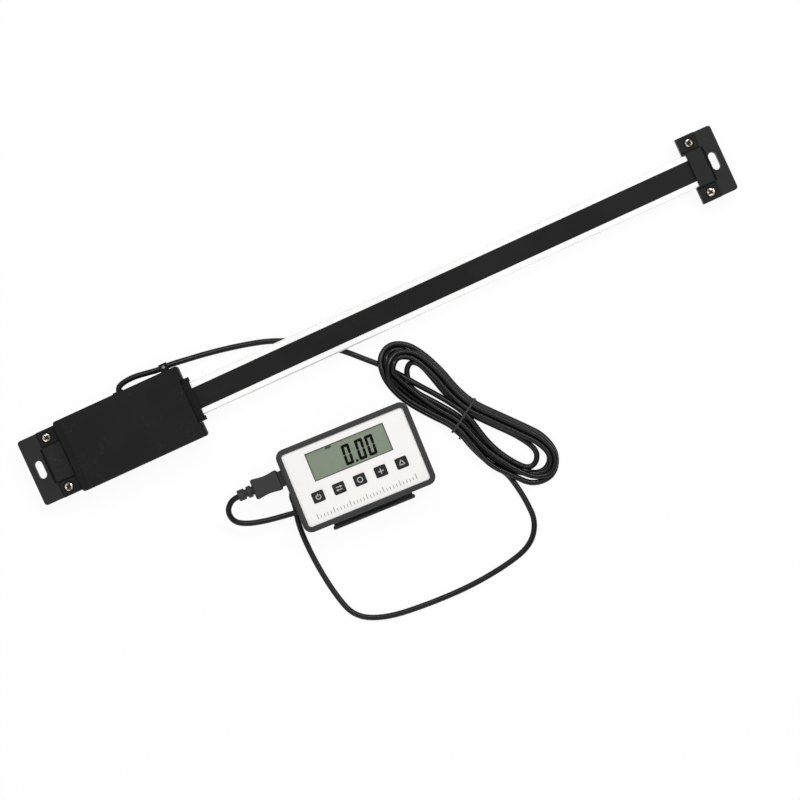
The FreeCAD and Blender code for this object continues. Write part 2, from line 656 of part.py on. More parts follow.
def make_gib_spring():
    """A leaf bowed between the sprung strip and the rail."""
    low = SPRUNG_BACK + SPRING_SLACK
    high = RAIL_Y - SPRING_SLACK - SPRING_T
    half = SPRING_LEN / 2
    z = (CHANNEL_FLOOR + RAIL_TOP - SPRING_H) / 2
    edges = []
    for rise in (0, SPRING_T):
        ends = [V(-half, high + rise, z), V(0, low + rise, z), V(half, high + rise, z)]
        edges.append(Part.Arc(*ends).toShape())
    for x in (-half, half):
        edges.append(Part.LineSegment(V(x, high, z), V(x, high + SPRING_T, z)).toShape())
    return Part.Face(Part.Wire(Part.__sortEdges__(edges))).extrude(V(0, 0, SPRING_H))


def make_slide_pads():
    z = (CHANNEL_FLOOR, BEAM_Z - RUN_FIT)
    x = GUIDE_LEN / 2 - PAD_LEN / 2
    return Part.makeCompound([centred(PAD_LEN, PAD_W, z, (side * x, 0)) for side in (-1, 1)])


def make_wiper(x):
    """A block round the beam, between two stations."""
    foot = BEAM_Z - WIPER_FOOT
    body = block(x, (-WIPER_W / 2, WIPER_W / 2), (foot, WIPER_TOP))
    gate = centred(4 * HEAD_LEN, BEAM_W + 2 * WIPE_FIT, (BEAM_Z - WIPE_FIT, FILM_TOP + WIPE_FIT))
    return body.cut(gate)


def make_wiper_far():
    out = HEAD_LEN / 2 + WIPER_OUT
    body = make_wiper((NOTCH_X + PART_FIT, out))
    hooks = []
    for side in (-1, 1):
        y = sorted((side * (WIPER_W / 2 - HOOK_W), side * WIPER_W / 2))
        hooks.append(block((out - WELD, out + HOOK_OUT), y, (BEAM_Z - WIPER_FOOT, WIPER_TOP)))
    return joined([body] + hooks)


def make_reader_board():
    board = rounded_plate(BOARD_LEN, BOARD_W, (RAIL_TOP, RAIL_TOP + BOARD_T), BOARD_CORNER)
    y = BOARD_W / 2 - HEADER_IN / 2
    deep = (RAIL_TOP - PAST, RAIL_TOP + BOARD_T + PAST)
    return cut(board, [disc(WIRE_HOLE_R, deep, (LEAD_X + i * HEADER_PITCH, y)) for i in (-1, 0, 1)])


def make_board_chips():
    z = RAIL_TOP + BOARD_T
    chip = centred(CHIP_W, CHIP_W, (z, z + CHIP_T), (-PART_X, 0))
    driver = centred(DRIVER_LEN, DRIVER_W, (z, z + DRIVER_T), (PART_X, -PART_Y))
    crystal = rounded_plate(CRYSTAL_LEN, CRYSTAL_W, (z, z + CRYSTAL_H), CRYSTAL_END, (PART_X, PART_Y))
    return Part.makeCompound([chip, driver, crystal])


def make_lead_header():
    z = RAIL_TOP + BOARD_T
    body = centred(HEADER_LEN, HEADER_W, (z, z + HEADER_H), (LEAD_X, HEADER_Y))
    mouth = (z + HEADER_MOUTH, z + HEADER_H + PAST)
    y = HEADER_Y + HEADER_MOUTH
    places = [(LEAD_X + i * HEADER_PITCH, y) for i in (-1, 0, 1)]
    return cut(body, [centred(HEADER_MOUTH, HEADER_W, mouth, at) for at in places])


def make_cable_grommet():
    y = HEAD_W / 2
    out = V(0, 1, 0)
    barrel = Part.makeCylinder(GROMMET_R - PART_FIT, COVER_WALL + WELD, V(LEAD_X, y - COVER_WALL, LEAD_Z), out)
    flange = Part.makeCylinder(GROMMET_FLANGE, GROMMET_OUT, V(LEAD_X, y, LEAD_Z), out)
    bore = Part.makeCylinder(GROMMET_BORE, HEAD_W, V(LEAD_X, 0, LEAD_Z), out)
    return joined([barrel, flange]).cut(bore)


def clip_top():
    return LEAD_Z + CLIP_H / 2


def make_cable_clip():
    y = (HEAD_W / 2, HEAD_W / 2 + CLIP_OUT)
    body = block((CLIP_X - CLIP_LEN / 2, CLIP_X + CLIP_LEN / 2), y, (LEAD_Z - CLIP_H / 2, clip_top()))
    body = rounded(body, CLIP_EDGE, lambda e: e.BoundBox.XLength > WELD and e.BoundBox.YMin > y[1] - WELD)
    bore = rod_x(CLIP_BORE, (CLIP_X - CLIP_LEN, CLIP_X + CLIP_LEN), LEAD_ROUTE[4][1], LEAD_Z)
    pin = disc(CLIP_PIN_SHANK_R + CLIP_PIN_FIT, (LEAD_Z, clip_top() + PAST), (CLIP_X, y[0] + CLIP_OUT / 2))
    return cut(body, [bore, pin])


def make_clip_pin():
    at = (CLIP_X, HEAD_W / 2 + CLIP_OUT / 2)
    top = clip_top() + CLIP_PIN_H
    head = rounded(disc(CLIP_PIN_R, (clip_top(), top), at), CLIP_PIN_EDGE, lambda e: lies_at(e, top))
    return joined([head, disc(CLIP_PIN_SHANK_R, (LEAD_Z + CLIP_BORE + PART_FIT, clip_top() + WELD), at)])


# Readout, drawn about the centre of its face
def key_places():
    first = KEY_X - KEY_PITCH * (KEY_COUNT - 1) / 2
    return [(first + i * KEY_PITCH, KEY_Y) for i in range(KEY_COUNT)]


def make_display_bezel():
    body = rounded_plate(CASE_W, CASE_H, (TRAY_Z, CASE_TOP), CASE_CORNER)
    body = rounded(body, CASE_EDGE, lambda e: lies_at(e, CASE_TOP))
    inner = CASE_CORNER - CASE_WALL
    cavity = rounded_plate(CAVITY_W, CAVITY_H, (TRAY_Z - PAST, PANEL_TOP), inner)
    posts = corners(POST_X, POST_Y)
    cavity = cut(cavity, [disc(POST_R, (TRAY_Z - 2 * PAST, PANEL_Z - PART_FIT), at) for at in posts])
    face = rounded_plate(CASE_W - 2 * BEZEL_FRAME, CASE_H - 2 * BEZEL_FRAME, (0, CASE_TOP + PAST),
                         CASE_CORNER - BEZEL_FRAME)
    face = face.common(centred(CASE_W, CASE_H, (PANEL_Z, CASE_TOP + PAST)))
    holes = [disc(CASE_SCREW_R + PART_FIT, (0, PANEL_Z - POST_ROOF), at) for at in posts]
    half_w = SOCKET_W / 2 + SOCKET_GAP
    half_h = SOCKET_H / 2 + SOCKET_GAP
    socket = block((-CASE_W, WELD - CAVITY_W / 2), (PLUG_Y - half_w, PLUG_Y + half_w),
                   (PLUG_Z - half_h, PLUG_Z + half_h))
    return cut(body, [cavity, face, socket] + holes)


def make_face_panel():
    panel = rounded_plate(CAVITY_W - 2 * PART_FIT, CAVITY_H - 2 * PART_FIT, (PANEL_Z, PANEL_TOP),
                          CASE_CORNER - CASE_WALL - PART_FIT)
    through = (PANEL_Z - PAST, PANEL_TOP + PAST)
    tools = [centred(LCD_W + 2 * PART_FIT, LCD_H + 2 * PART_FIT, through, (LCD_X, LCD_Y))]
    tools += [rounded_plate(KEY_W + 2 * KEY_FIT, KEY_H + 2 * KEY_FIT, through, KEY_CORNER + KEY_FIT, at)
              for at in key_places()]
    return cut(panel, tools)


def make_lcd_module():
    width = LCD_W + 2 * LCD_MARGIN
    body = centred(width, LCD_H + 2 * LCD_MARGIN, (MAIN_TOP, PANEL_Z - PART_FIT), (LCD_X, LCD_Y))
    step = centred(width + PAST, LCD_MARGIN, (MAIN_TOP + LCD_STEP, PANEL_Z),
                   (LCD_X, LCD_Y - LCD_H / 2 - LCD_MARGIN / 2))
    return body.cut(step)


def make_lcd_window():
    return centred(LCD_W, LCD_H, (PANEL_Z - PART_FIT, PANEL_TOP - PART_FIT), (LCD_X, LCD_Y))


def make_key(at):
    low = KEY_FLANGE_TOP - KEY_FLANGE_T
    cap = rounded_plate(KEY_W, KEY_H, (low, KEY_TOP), KEY_CORNER, at)
    cap = rounded(cap, KEY_EDGE, lambda e: lies_at(e, KEY_TOP))
    flange = centred(KEY_W + 2 * KEY_FLANGE, KEY_H + 2 * KEY_FLANGE, (low, KEY_FLANGE_TOP), at)
    return joined([cap, flange])


def make_keypad_mat():
    """A rubber sheet with a dome under each key."""
    width = KEY_PITCH * (KEY_COUNT - 1) + KEY_W - 2 * MAT_IN
    top = MAIN_TOP + MAT_T
    sheet = centred(width, KEY_H + 2 * MAT_OUT, (MAIN_TOP, top), (KEY_X, KEY_Y))
    domes = [Part.makeCone(DOME_R, DOME_R * DOME_TAPER, DOME_TOP - top + WELD, V(x, y, top - WELD))
             for x, y in key_places()]
    return joined([sheet] + domes)


def make_main_board():
    board = centred(MAIN_W, MAIN_H, (MAIN_Z, MAIN_TOP))
    tongue = block((SOCKET_X0, PAST - MAIN_W / 2), (PLUG_Y - SOCKET_W / 2, PLUG_Y + SOCKET_W / 2),
                   (MAIN_Z, MAIN_TOP))
    return joined([board, tongue])


def make_data_socket():
    z = (PLUG_Z - SOCKET_H / 2, PLUG_Z + SOCKET_H / 2)
    x = (SOCKET_X0, SOCKET_X0 + SOCKET_LEN)
    shell = block(x, (PLUG_Y - SOCKET_W / 2, PLUG_Y + SOCKET_W / 2), z)
    shell = rounded(shell, SOCKET_EDGE, lambda e: e.BoundBox.XLength > WELD)
    half = SOCKET_W / 2 - SOCKET_WALL
    mouth = block((x[0] - PAST, x[1] - SOCKET_BACK), (PLUG_Y - half, PLUG_Y + half),
                  (z[0] + SOCKET_WALL, z[1] - SOCKET_WALL))
    return shell.cut(mouth)


def box_block(inset, z):
    """The back box's plan, drawn in by a wall."""
    width = BOX_X[1] - BOX_X[0] - 2 * inset
    return rounded_plate(width, BOX_H - 2 * inset, z, BOX_CORNER - inset, ((BOX_X[0] + BOX_X[1]) / 2, 0))


def lug_outline():
    """A hinge lug from the side: an eye on a web that meets the back box."""
    web = block((0, LUG_T), (STAND_HINGE_Y - LUG_R, STAND_HINGE_Y + LUG_R), (STAND_HINGE_Z, BOX_Z + WELD))
    return joined([web, rod_x(LUG_R, (0, LUG_T), STAND_HINGE_Y, STAND_HINGE_Z)])


def make_case_back():
    flange = rounded_plate(CASE_W, CASE_H, (CASE_FLANGE_Z, TRAY_Z), CASE_CORNER)
    flange = rounded(flange, CASE_EDGE, lambda e: lies_at(e, CASE_FLANGE_Z))
    rim_w = CAVITY_W - 2 * PART_FIT
    rim_h = CAVITY_H - 2 * PART_FIT
    corner = CASE_CORNER - CASE_WALL - PART_FIT
    rim = rounded_plate(rim_w, rim_h, (TRAY_Z - WELD, TRAY_Z + RIM_H), corner)
    rim = rim.cut(rounded_plate(rim_w - 2 * RIM_T, rim_h - 2 * RIM_T, (0, CASE_TOP), corner - RIM_T))
    rim = cut(rim, [disc(POST_R + PART_FIT, (TRAY_Z, CASE_TOP), at) for at in corners(POST_X, POST_Y)])
    rim = rim.cut(centred(CASE_W, SOCKET_W + 4 * PART_FIT, (PLUG_Z - SOCKET_H / 2 - PART_FIT, CASE_TOP),
                          (-CASE_W / 2, PLUG_Y)))
    box = rounded(box_block(0, (BOX_Z, CASE_FLANGE_Z + WELD)), CASE_EDGE, lambda e: lies_at(e, BOX_Z))
    studs = [disc(STUD_R, (TRAY_Z - WELD, MAIN_Z), at) for at in corners(STUD_X, STUD_Y)]
    lug_x = STAND_W / 2 + MOVE_GAP
    lugs = [moved(lug_outline(), (x, 0, 0)) for x in (lug_x, -lug_x - LUG_T)]
    body = joined([flange, rim, box] + studs + lugs)
    ledge_z = DOOR_Z + DOOR_T / 2
    gap = KEY_FIT
    out = BOX_X[1] + PAST
    tools = [
        box_block(BOX_WALL, (DOOR_Z + DOOR_T + gap, TRAY_Z + WELD)).cut(
            Part.makeCompound([disc(STUD_R, (0, CASE_TOP), at) for at in corners(STUD_X, STUD_Y)])),
        block((DOOR_X0 - gap, out), (DOOR_Y[0] - gap, DOOR_Y[1] + gap),
              (BOX_Z - PAST, DOOR_Z + DOOR_T + gap + WELD)),
        block((DOOR_X0 - gap, out), (DOOR_Y[0] - DOOR_LEDGE - gap, DOOR_Y[1] + DOOR_LEDGE + gap),
              (ledge_z - gap, DOOR_Z + DOOR_T + gap)),
        rod_x(STAND_PIN_R + CLIP_PIN_FIT, (-CASE_W, CASE_W), STAND_HINGE_Y, STAND_HINGE_Z)]
    tools += [disc(CASE_SCREW_R + PART_FIT, (0, CASE_TOP), at) for at in corners(POST_X, POST_Y)]
    sink = (0, CASE_FLANGE_Z + CASE_SCREW_SINK)
    tools += [disc(2 * CASE_SCREW_R + PART_FIT, sink, at) for at in corners(POST_X, POST_Y)]
    return cut(body, tools)


def make_battery_door():
    x = (DOOR_X0, BOX_X[1])
    plate = block(x, DOOR_Y, (DOOR_Z, DOOR_Z + DOOR_T))
    tongue = block((x[0], x[1] - BOX_WALL), (DOOR_Y[0] - DOOR_LEDGE, DOOR_Y[1] + DOOR_LEDGE),
                   (DOOR_Z + DOOR_T / 2, DOOR_Z + DOOR_T))
    first = x[1] - GRIP_IN
    grips = [centred(GRIP_W, GRIP_LEN, (DOOR_Z - PAST, DOOR_Z + GRIP_DEPTH), (first - 2 * i * GRIP_W, CELL_Y))
             for i in range(DOOR_GRIPS)]
    return cut(joined([plate, tongue]), grips)


def cell_rows():
    return [CELL_Y - CELL_PITCH / 2, CELL_Y + CELL_PITCH / 2]


def make_battery_cells():
    cells = []
    for row, y in enumerate(cell_rows()):
        start = CELL_X0 + NUB_LEN * row
        can = rod_x(CELL_R, (start, start + CELL_LEN - NUB_LEN), y, CELL_Z)
        nub = rod_x(NUB_R, (CELL_X0, CELL_X0 + CELL_LEN), y, CELL_Z)
        cells.append(joined([can, nub]))
    return Part.makeCompound(cells)


def make_battery_contacts():
    """A leaf at each end of the pair of cells, folded so that it stands off the wall and meets both cells."""
    low, high = cell_rows()
    strips = []
    for end, wall in ((CELL_X0, BOX_X[0] + BOX_WALL), (CELL_X0 + CELL_LEN, BOX_X[1] - BOX_WALL)):
        way = 1 if wall > end else -1
        folds = [(wall - way * CONTACT_T, low - CONTACT_EDGE), (end, low), (wall - way * CONTACT_T, CELL_Y),
                 (end, high), (wall - way * CONTACT_T, high + CONTACT_EDGE)]
        front = [V(x, y, CELL_Z - CONTACT_H / 2) for x, y in folds]
        back = [point + V(way * CONTACT_T, 0, 0) for point in reversed(front)]
        leaf = Part.Face(Part.makePolygon(front + back + front[:1]))
        strips.append(leaf.extrude(V(0, 0, CONTACT_H)))
    return Part.makeCompound(strips)


def make_case_screws():
    screw = pan_screw(2 * CASE_SCREW_R, CASE_SCREW_HEAD_H, CASE_SCREW_R, CASE_SCREW_LEN)
    seat = CASE_FLANGE_Z + CASE_SCREW_SINK
    return Part.makeCompound([moved(screw, (x, y, seat), 0, True) for x, y in corners(POST_X, POST_Y)])


def make_rubber_feet():
    feet = [Part.makeCone(FOOT_R - FOOT_TAPER, FOOT_R, BOX_Z, V(x, side * FOOT_Y, 0))
            for x in FOOT_X for side in (-1, 1)]
    return Part.makeCompound(feet)


def make_stand_plate():
    """A plate on a hinge barrel, with a window and a lip that shows beyond the readout."""
    z = (STAND_HINGE_Z - STAND_T / 2, STAND_HINGE_Z + STAND_T / 2)
    half = STAND_W / 2
    foot = LIP_Y - STAND_LIP_T / 2
    plate = block((-half, half), (foot, STAND_HINGE_Y), z)
    barrel = rod_x(STAND_BARREL_R, (-half, half), STAND_HINGE_Y, STAND_HINGE_Z)
    lip = block((-STAND_LIP_W / 2, STAND_LIP_W / 2), (-STAND_REACH, LIP_Y), (z[0], z[0] + STAND_LIP_H))
    lip = rounded(lip, STAND_LIP_T * 0.45, lambda e: is_upright(e) or lies_at(e, z[0] + STAND_LIP_H))
    middle = (0, STAND_HINGE_Y - STAND_BORDER - STAND_WINDOW / 2)
    window = rounded_plate(STAND_W - 2 * STAND_BORDER, STAND_WINDOW, (z[0] - PAST, z[1] + PAST),
                           STAND_BORDER / 2, middle)
    flare = half + STAND_FLARE
    slope = [(-flare, z[0]), (flare, z[0]), (half, z[1]), (-half, z[1])]
    gusset = extruded_y(slope, (foot, LIP_Y + STAND_GUSSET))
    bore = rod_x(STAND_PIN_R + STAND_PIN_FIT, (-CASE_W, CASE_W), STAND_HINGE_Y, STAND_HINGE_Z)
    return cut(joined([plate, barrel, lip, gusset]), [window, bore])


def make_stand_pin():
    reach = STAND_W / 2 + MOVE_GAP + LUG_T
    return rod_x(STAND_PIN_R, (-reach, reach), STAND_HINGE_Y, STAND_HINGE_Z)


# Plug on the lead
def make_plug_shell():
    x = (MOULD_X1 - SHELL_ROOT, SOCKET_X0 + PLUG_SHELL_IN)
    shell = block(x, (PLUG_Y - PLUG_SHELL_W / 2, PLUG_Y + PLUG_SHELL_W / 2),
                  (PLUG_Z - PLUG_SHELL_H / 2, PLUG_Z + PLUG_SHELL_H / 2))
    return rounded(shell, SHELL_EDGE, lambda e: e.BoundBox.XLength > WELD)


def make_plug_overmould():
    front = MOULD_W / 2
    rear = MOULD_REAR_W / 2
    middle = (front + rear) / 2 - MOULD_WAVE
    half = MOULD_H / 2
    z = PLUG_Z - half
    edges = []
    for side in (-1, 1):
        wave = [V(MOULD_X0, PLUG_Y + side * rear, z), V((MOULD_X0 + MOULD_X1) / 2, PLUG_Y + side * middle, z),
                V(MOULD_X1, PLUG_Y + side * front, z)]
        edges.append(Part.Arc(*wave).toShape())
    for x, y in ((MOULD_X0, rear), (MOULD_X1, front)):
        edges.append(Part.LineSegment(V(x, PLUG_Y - y, z), V(x, PLUG_Y + y, z)).toShape())
    grip = Part.Face(Part.Wire(Part.__sortEdges__(edges))).extrude(V(0, 0, MOULD_H))
    grip = rounded(grip, MOULD_EDGE, lambda e: lies_at(e, z) or lies_at(e, z + MOULD_H))
    collar = block((MOULD_X1 - PAST, MOULD_X1 + COLLAR_LEN - MOVE_GAP),
                   (PLUG_Y - COLLAR_W / 2, PLUG_Y + COLLAR_W / 2),
                   (PLUG_Z - COLLAR_H / 2, PLUG_Z + COLLAR_H / 2))
    collar = rounded(collar, MOULD_EDGE, lambda e: e.BoundBox.XLength > WELD)
    return joined([grip, collar]).cut(make_plug_shell())


def make_plug_relief():
    """A ringed sleeve behind the overmould, open for the lead."""
    bore = CORD_R + RELIEF_BORE_FIT
    ring = RELIEF_LEN / (2 * RELIEF_RINGS)
    swell = (RELIEF_R - RELIEF_TIP_R) / RELIEF_RINGS
    outline = [V(RELIEF_X0, bore, 0)]
    for i in range(RELIEF_RINGS):
        x = RELIEF_X0 + 2 * i * ring
        radius = RELIEF_TIP_R + i * swell
        neck = radius - RELIEF_NECK
        outline += [V(x, radius, 0), V(x + ring, radius, 0), V(x + ring, neck, 0), V(x + 2 * ring, neck, 0)]
    bore_end = RELIEF_X0 + RELIEF_BORE_LEN
    outline += [V(MOULD_X0, 0, 0), V(bore_end, 0, 0), V(bore_end, bore, 0)]
    face = Part.Face(Part.makePolygon(outline + outline[:1]))
    return moved(face.revolve(V(0, 0, 0), V(1, 0, 0), 360), (0, PLUG_Y, PLUG_Z))


# Lead
def make_cord(name, route):
    """A tube along straight runs that tangent arcs join, each arc as large as its runs allow."""
    points = [V(*point) for point in route]
    runs = [b - a for a, b in zip(points, points[1:])]
    edges = []
    radii = []
    start = points[0]
    for i in range(1, len(points) - 1):
        into = V(runs[i - 1]).normalize()
        out = V(runs[i]).normalize()
        half = into.getAngle(out) / 2
        reach = 0.45 * min(runs[i - 1].Length, runs[i].Length)
        radius = reach / math.tan(half)
        radii.append(radius)
        first = points[i] - into * reach
        last = points[i] + out * reach
        inward = (out - into).normalize()
        middle = points[i] + inward * (radius / math.cos(half) - radius)
        edges.append(Part.LineSegment(start, first).toShape())
        edges.append(Part.Arc(first, middle, last).toShape())
        start = last
    edges.append(Part.LineSegment(start, points[-1]).toShape())
    path = Part.Wire(edges)
    ring = Part.Wire(Part.Circle(points[0], runs[0], CORD_R).toShape())
    tube = path.makePipeShell([ring], True, False)
    share = tube.Volume / (math.pi * CORD_R ** 2 * path.Length)
    print(name, "length %.0f" % path.Length, "volume share %.4f" % share,
          "radii", " ".join("%.1f" % radius for radius in radii))
    return tube


def outline_face(points):
    """A face inside a smooth closed outline."""
    curve = Part.BSplineCurve()
    curve.interpolate(Points=[V(x, y, 0) for x, y in points], PeriodicFlag=True)
    return Part.Face(Part.Wire(curve.toShape()))


def tie_ring(slack):
    """The tie's band round the hank's waist, with slack all round it."""
    outer = TIE_INNER_W + 2 * TIE_T
    band = TIE_BAND + 2 * slack
    ring = centred(outer + 2 * slack, band, (0, TIE_H + slack))
    ring = ring.cut(centred(TIE_INNER_W - 2 * slack, band + PAST, (TIE_T + slack, TIE_H - TIE_T - slack)))
    return moved(ring, (TIE_AT[0], TIE_AT[1], 0), TIE_TURN)


def make_cord_hank():
    form = outline_face(HANK_OUTER).extrude(V(0, 0, HANK_H))
    form = rounded(form, HANK_EDGE, lambda e: lies_at(e, HANK_H))
    through = V(0, 0, HANK_H + 2 * PAST)
    lobes = [moved(outline_face(points).extrude(through), (0, 0, -PAST)) for points in HANK_LOBES]
    above = block((0, BEAM_X1), (HANK_STEP_Y, HEAD_W), (HANK_STEP_Z, 2 * HANK_H))
    return cut(form, lobes + [tie_ring(TIE_FIT), tie_tail(TIE_FIT), above])


def tie_tail(slack):
    """The twisted end of the tie, beside the hank."""
    side = math.radians(TIE_TURN)
    reach = TIE_INNER_W / 2 + TIE_T / 2
    root = V(TIE_AT[0] - reach * math.cos(side), TIE_AT[1] - reach * math.sin(side), TIE_H / 2)
    thick, thin = TIE_TAIL_R
    return Part.makeCone(thick + slack, thin + slack, TIE_TAIL + slack, root, V(*TIE_TAIL_WAY))


def make_hank_tie():
    return joined([tie_ring(0), tie_tail(0)])


def in_readout(shape):
    """A piece of the readout where the readout lies."""
    return moved(shape, (READOUT_X, READOUT_Y, 0), READOUT_TURN)


def tail_route():
    """The route from the hank, ending inside the plug's strain relief."""
    turn = math.radians(READOUT_TURN)
    ends = []
    for depth in TAIL_IN:
        x = RELIEF_X0 + depth
        ends.append((READOUT_X + x * math.cos(turn) - PLUG_Y * math.sin(turn),
                     READOUT_Y + x * math.sin(turn) + PLUG_Y * math.cos(turn), PLUG_Z))
    return TAIL_ROUTE + ends


film_z = FILM_TOP - FILM_T

pieces = {
    "scale_beam": make_scale_beam(),
    "encoder_tape": make_tape(film_z - TAPE_T, TAPE_T),
    "tape_film": make_tape(film_z, FILM_T),
    "bracket_base_near": at_near_end(make_bracket_base(NEAR_PLATE)),
    "bracket_base_far": at_far_end(make_bracket_base(FAR_PLATE)),
    "bracket_clamp_near": at_near_end(make_bracket_clamp(EAR_DEPTH)),
    "bracket_clamp_far": at_far_end(make_bracket_clamp(FAR_BRIDGE)),
    "bracket_screws": make_bracket_screws(),
    "mount_plate": make_mount_plate(),
    "mount_plate_screws": make_mount_plate_screws(),
    "slider_body": make_slider_body(),
    "guide_strip_fixed": make_guide(-1, RAIL_Y),
    "guide_strip_sprung": make_guide(1, SPRUNG_BACK),
    "gib_spring": make_gib_spring(),
    "slide_pads": make_slide_pads(),
    "wiper_near": make_wiper((-HEAD_LEN / 2 + PART_FIT, -SLIDER_X - PART_FIT)),
    "wiper_far": make_wiper_far(),
    "reader_board": make_reader_board(),
    "pickup_plate": centred(PICKUP_LEN, PICKUP_W, (RAIL_TOP - PICKUP_T, RAIL_TOP)),
    "board_chips": make_board_chips(),
    "lead_header": make_lead_header(),
    "head_cover": make_head_cover(),
    "head_screws": make_head_screws(),
    "cable_grommet": make_cable_grommet(),
    "cable_clip": make_cable_clip(),
    "clip_pin": make_clip_pin(),
    "cord_lead": make_cord("cord_lead", LEAD_ROUTE),
    "cord_hank": make_cord_hank(),
    "cord_tail": make_cord("cord_tail", tail_route()),
    "hank_tie": make_hank_tie(),
}

readout = {
    "display_bezel": make_display_bezel(),
    "face_panel": make_face_panel(),
    "lcd_module": make_lcd_module(),
    "lcd_window": make_lcd_window(),
    "keypad_mat": make_keypad_mat(),
    "main_board": make_main_board(),
    "data_socket": make_data_socket(),
    "case_back": make_case_back(),
    "battery_door": make_battery_door(),
    "battery_cells": make_battery_cells(),
    "battery_contacts": make_battery_contacts(),
    "case_screws": make_case_screws(),
    "rubber_feet": make_rubber_feet(),
    "stand_plate": make_stand_plate(),
    "stand_pin": make_stand_pin(),
    "plug_shell": make_plug_shell(),
    "plug_overmould": make_plug_overmould(),
    "plug_relief": make_plug_relief(),
}
for number, place in enumerate(key_places(), 1):
    readout["key_%d" % number] = make_key(place)
pieces.update({name: in_readout(shape) for name, shape in readout.items()})

os.makedirs("parts", exist_ok=True)
for name, shape in pieces.items():
    shape.exportStep("parts/%s.step" % name)
print(len(pieces), "pieces")
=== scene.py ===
# %% [markdown]
# # Digital linear scale
# A steel beam slides through a black reader head, and a lead runs from the head, through a tied hank,
# to a small remote readout. The CAD model gives every rigid piece its shape and place. This lesson
# gives the pieces their finishes, lays the lead as one soft cord, and adds the fine things that sit on
# the surfaces: the display's figures, the key signs and a printed rule.

# %% Load the frame
import json
import math

import bmesh
import bpy
from mathutils import Matrix, Vector


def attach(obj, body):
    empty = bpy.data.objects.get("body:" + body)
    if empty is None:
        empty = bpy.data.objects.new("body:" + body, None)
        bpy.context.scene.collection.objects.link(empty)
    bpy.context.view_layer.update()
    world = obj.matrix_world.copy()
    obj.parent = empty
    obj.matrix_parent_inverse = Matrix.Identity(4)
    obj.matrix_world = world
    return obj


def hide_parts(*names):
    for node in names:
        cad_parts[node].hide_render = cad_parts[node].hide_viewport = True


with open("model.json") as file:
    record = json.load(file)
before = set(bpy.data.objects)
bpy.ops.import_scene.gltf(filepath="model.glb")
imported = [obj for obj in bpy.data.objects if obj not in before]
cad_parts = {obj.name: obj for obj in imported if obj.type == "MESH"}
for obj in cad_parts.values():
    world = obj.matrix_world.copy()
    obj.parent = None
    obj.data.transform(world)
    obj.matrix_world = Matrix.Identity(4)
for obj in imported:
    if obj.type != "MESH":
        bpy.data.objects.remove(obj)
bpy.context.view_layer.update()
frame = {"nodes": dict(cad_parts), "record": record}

MM = 0.001
scene = bpy.context.scene
scene.view_settings.view_transform = "Standard"

# %% [markdown]
# ## Camera
# The photograph looks straight down with almost no perspective. A long lens far above the table gives
# that look, and a turn about the vertical makes the beam climb to the right of the picture.

# %% Camera over the table
VIEW_TURN = math.radians(-24.65)
VIEW_MIDDLE = Vector((145.45, -48.89, 11.0)) * MM
VIEW_WIDTH = 453.3 * MM
LENS = 200.0
SENSOR = 36.0

camera_data = bpy.data.cameras.new("camera")
camera_data.lens = LENS
camera_data.sensor_width = SENSOR
camera = bpy.data.objects.new("camera", camera_data)
camera.rotation_euler = (0, 0, VIEW_TURN)
camera.location = VIEW_MIDDLE + Vector((0, 0, VIEW_WIDTH * LENS / SENSOR))
scene.collection.objects.link(camera)
scene.camera = camera
print("camera %.2f m above the beam" % (camera.location.z - VIEW_MIDDLE.z))

# %% [markdown]
# ## Floor and light
# The object lies on a plain white sheet in a bright, soft studio. A dome that is white overhead and grey at
# the horizon lights it from all sides, so that the bare steel mirrors white. A long strip lamp draws a
# streak along the lead, a wide lamp fills the other side, and a low one lights the upright sides. For the
# camera, mirrors and glass the floor is mostly glow, which keeps it white and leaves a faint shadow.

# %% Helpers for nodes and meshes
def node(tree, kind, x=0, y=0, **settings):
    """A shader node with its properties set."""
    made = tree.nodes.new(kind)
    made.location = (x, y)
    for name, value in settings.items():
        setattr(made, name, value)
    return made


def wire(tree, source, target):
    """A link from one node's output to another's input."""
    tree.links.new(source, target)


def mesh_object(name, shape):
    """An object at the origin from a bmesh, which is used up."""
    bmesh.ops.recalc_face_normals(shape, faces=shape.faces)
    mesh = bpy.data.meshes.new(name)
    shape.to_mesh(mesh)
    shape.free()
    made = bpy.data.objects.new(name, mesh)
    scene.collection.objects.link(made)
    return made


def seen_rays(tree, x, y):
    """One for a ray from the camera, a mirror or a glass, and zero for light."""
    path = node(tree, "ShaderNodeLightPath", x, y)
    first = node(tree, "ShaderNodeMath", x + 200, y, operation="MAXIMUM")
    second = node(tree, "ShaderNodeMath", x + 400, y, operation="MAXIMUM")
    wire(tree, path.outputs["Is Camera Ray"], first.inputs[0])
    wire(tree, path.outputs["Is Glossy Ray"], first.inputs[1])
    wire(tree, first.outputs[0], second.inputs[0])
    wire(tree, path.outputs["Is Transmission Ray"], second.inputs[1])
    return second.outputs[0]


print("helpers for nodes, meshes and rays")

# %% Floor
FLOOR_HALF = 4.0
FLOOR_DROP = -0.05 * MM
FLOOR_GLOW = 0.93
PAPER_TONE = (0.86, 0.86, 0.86, 1)

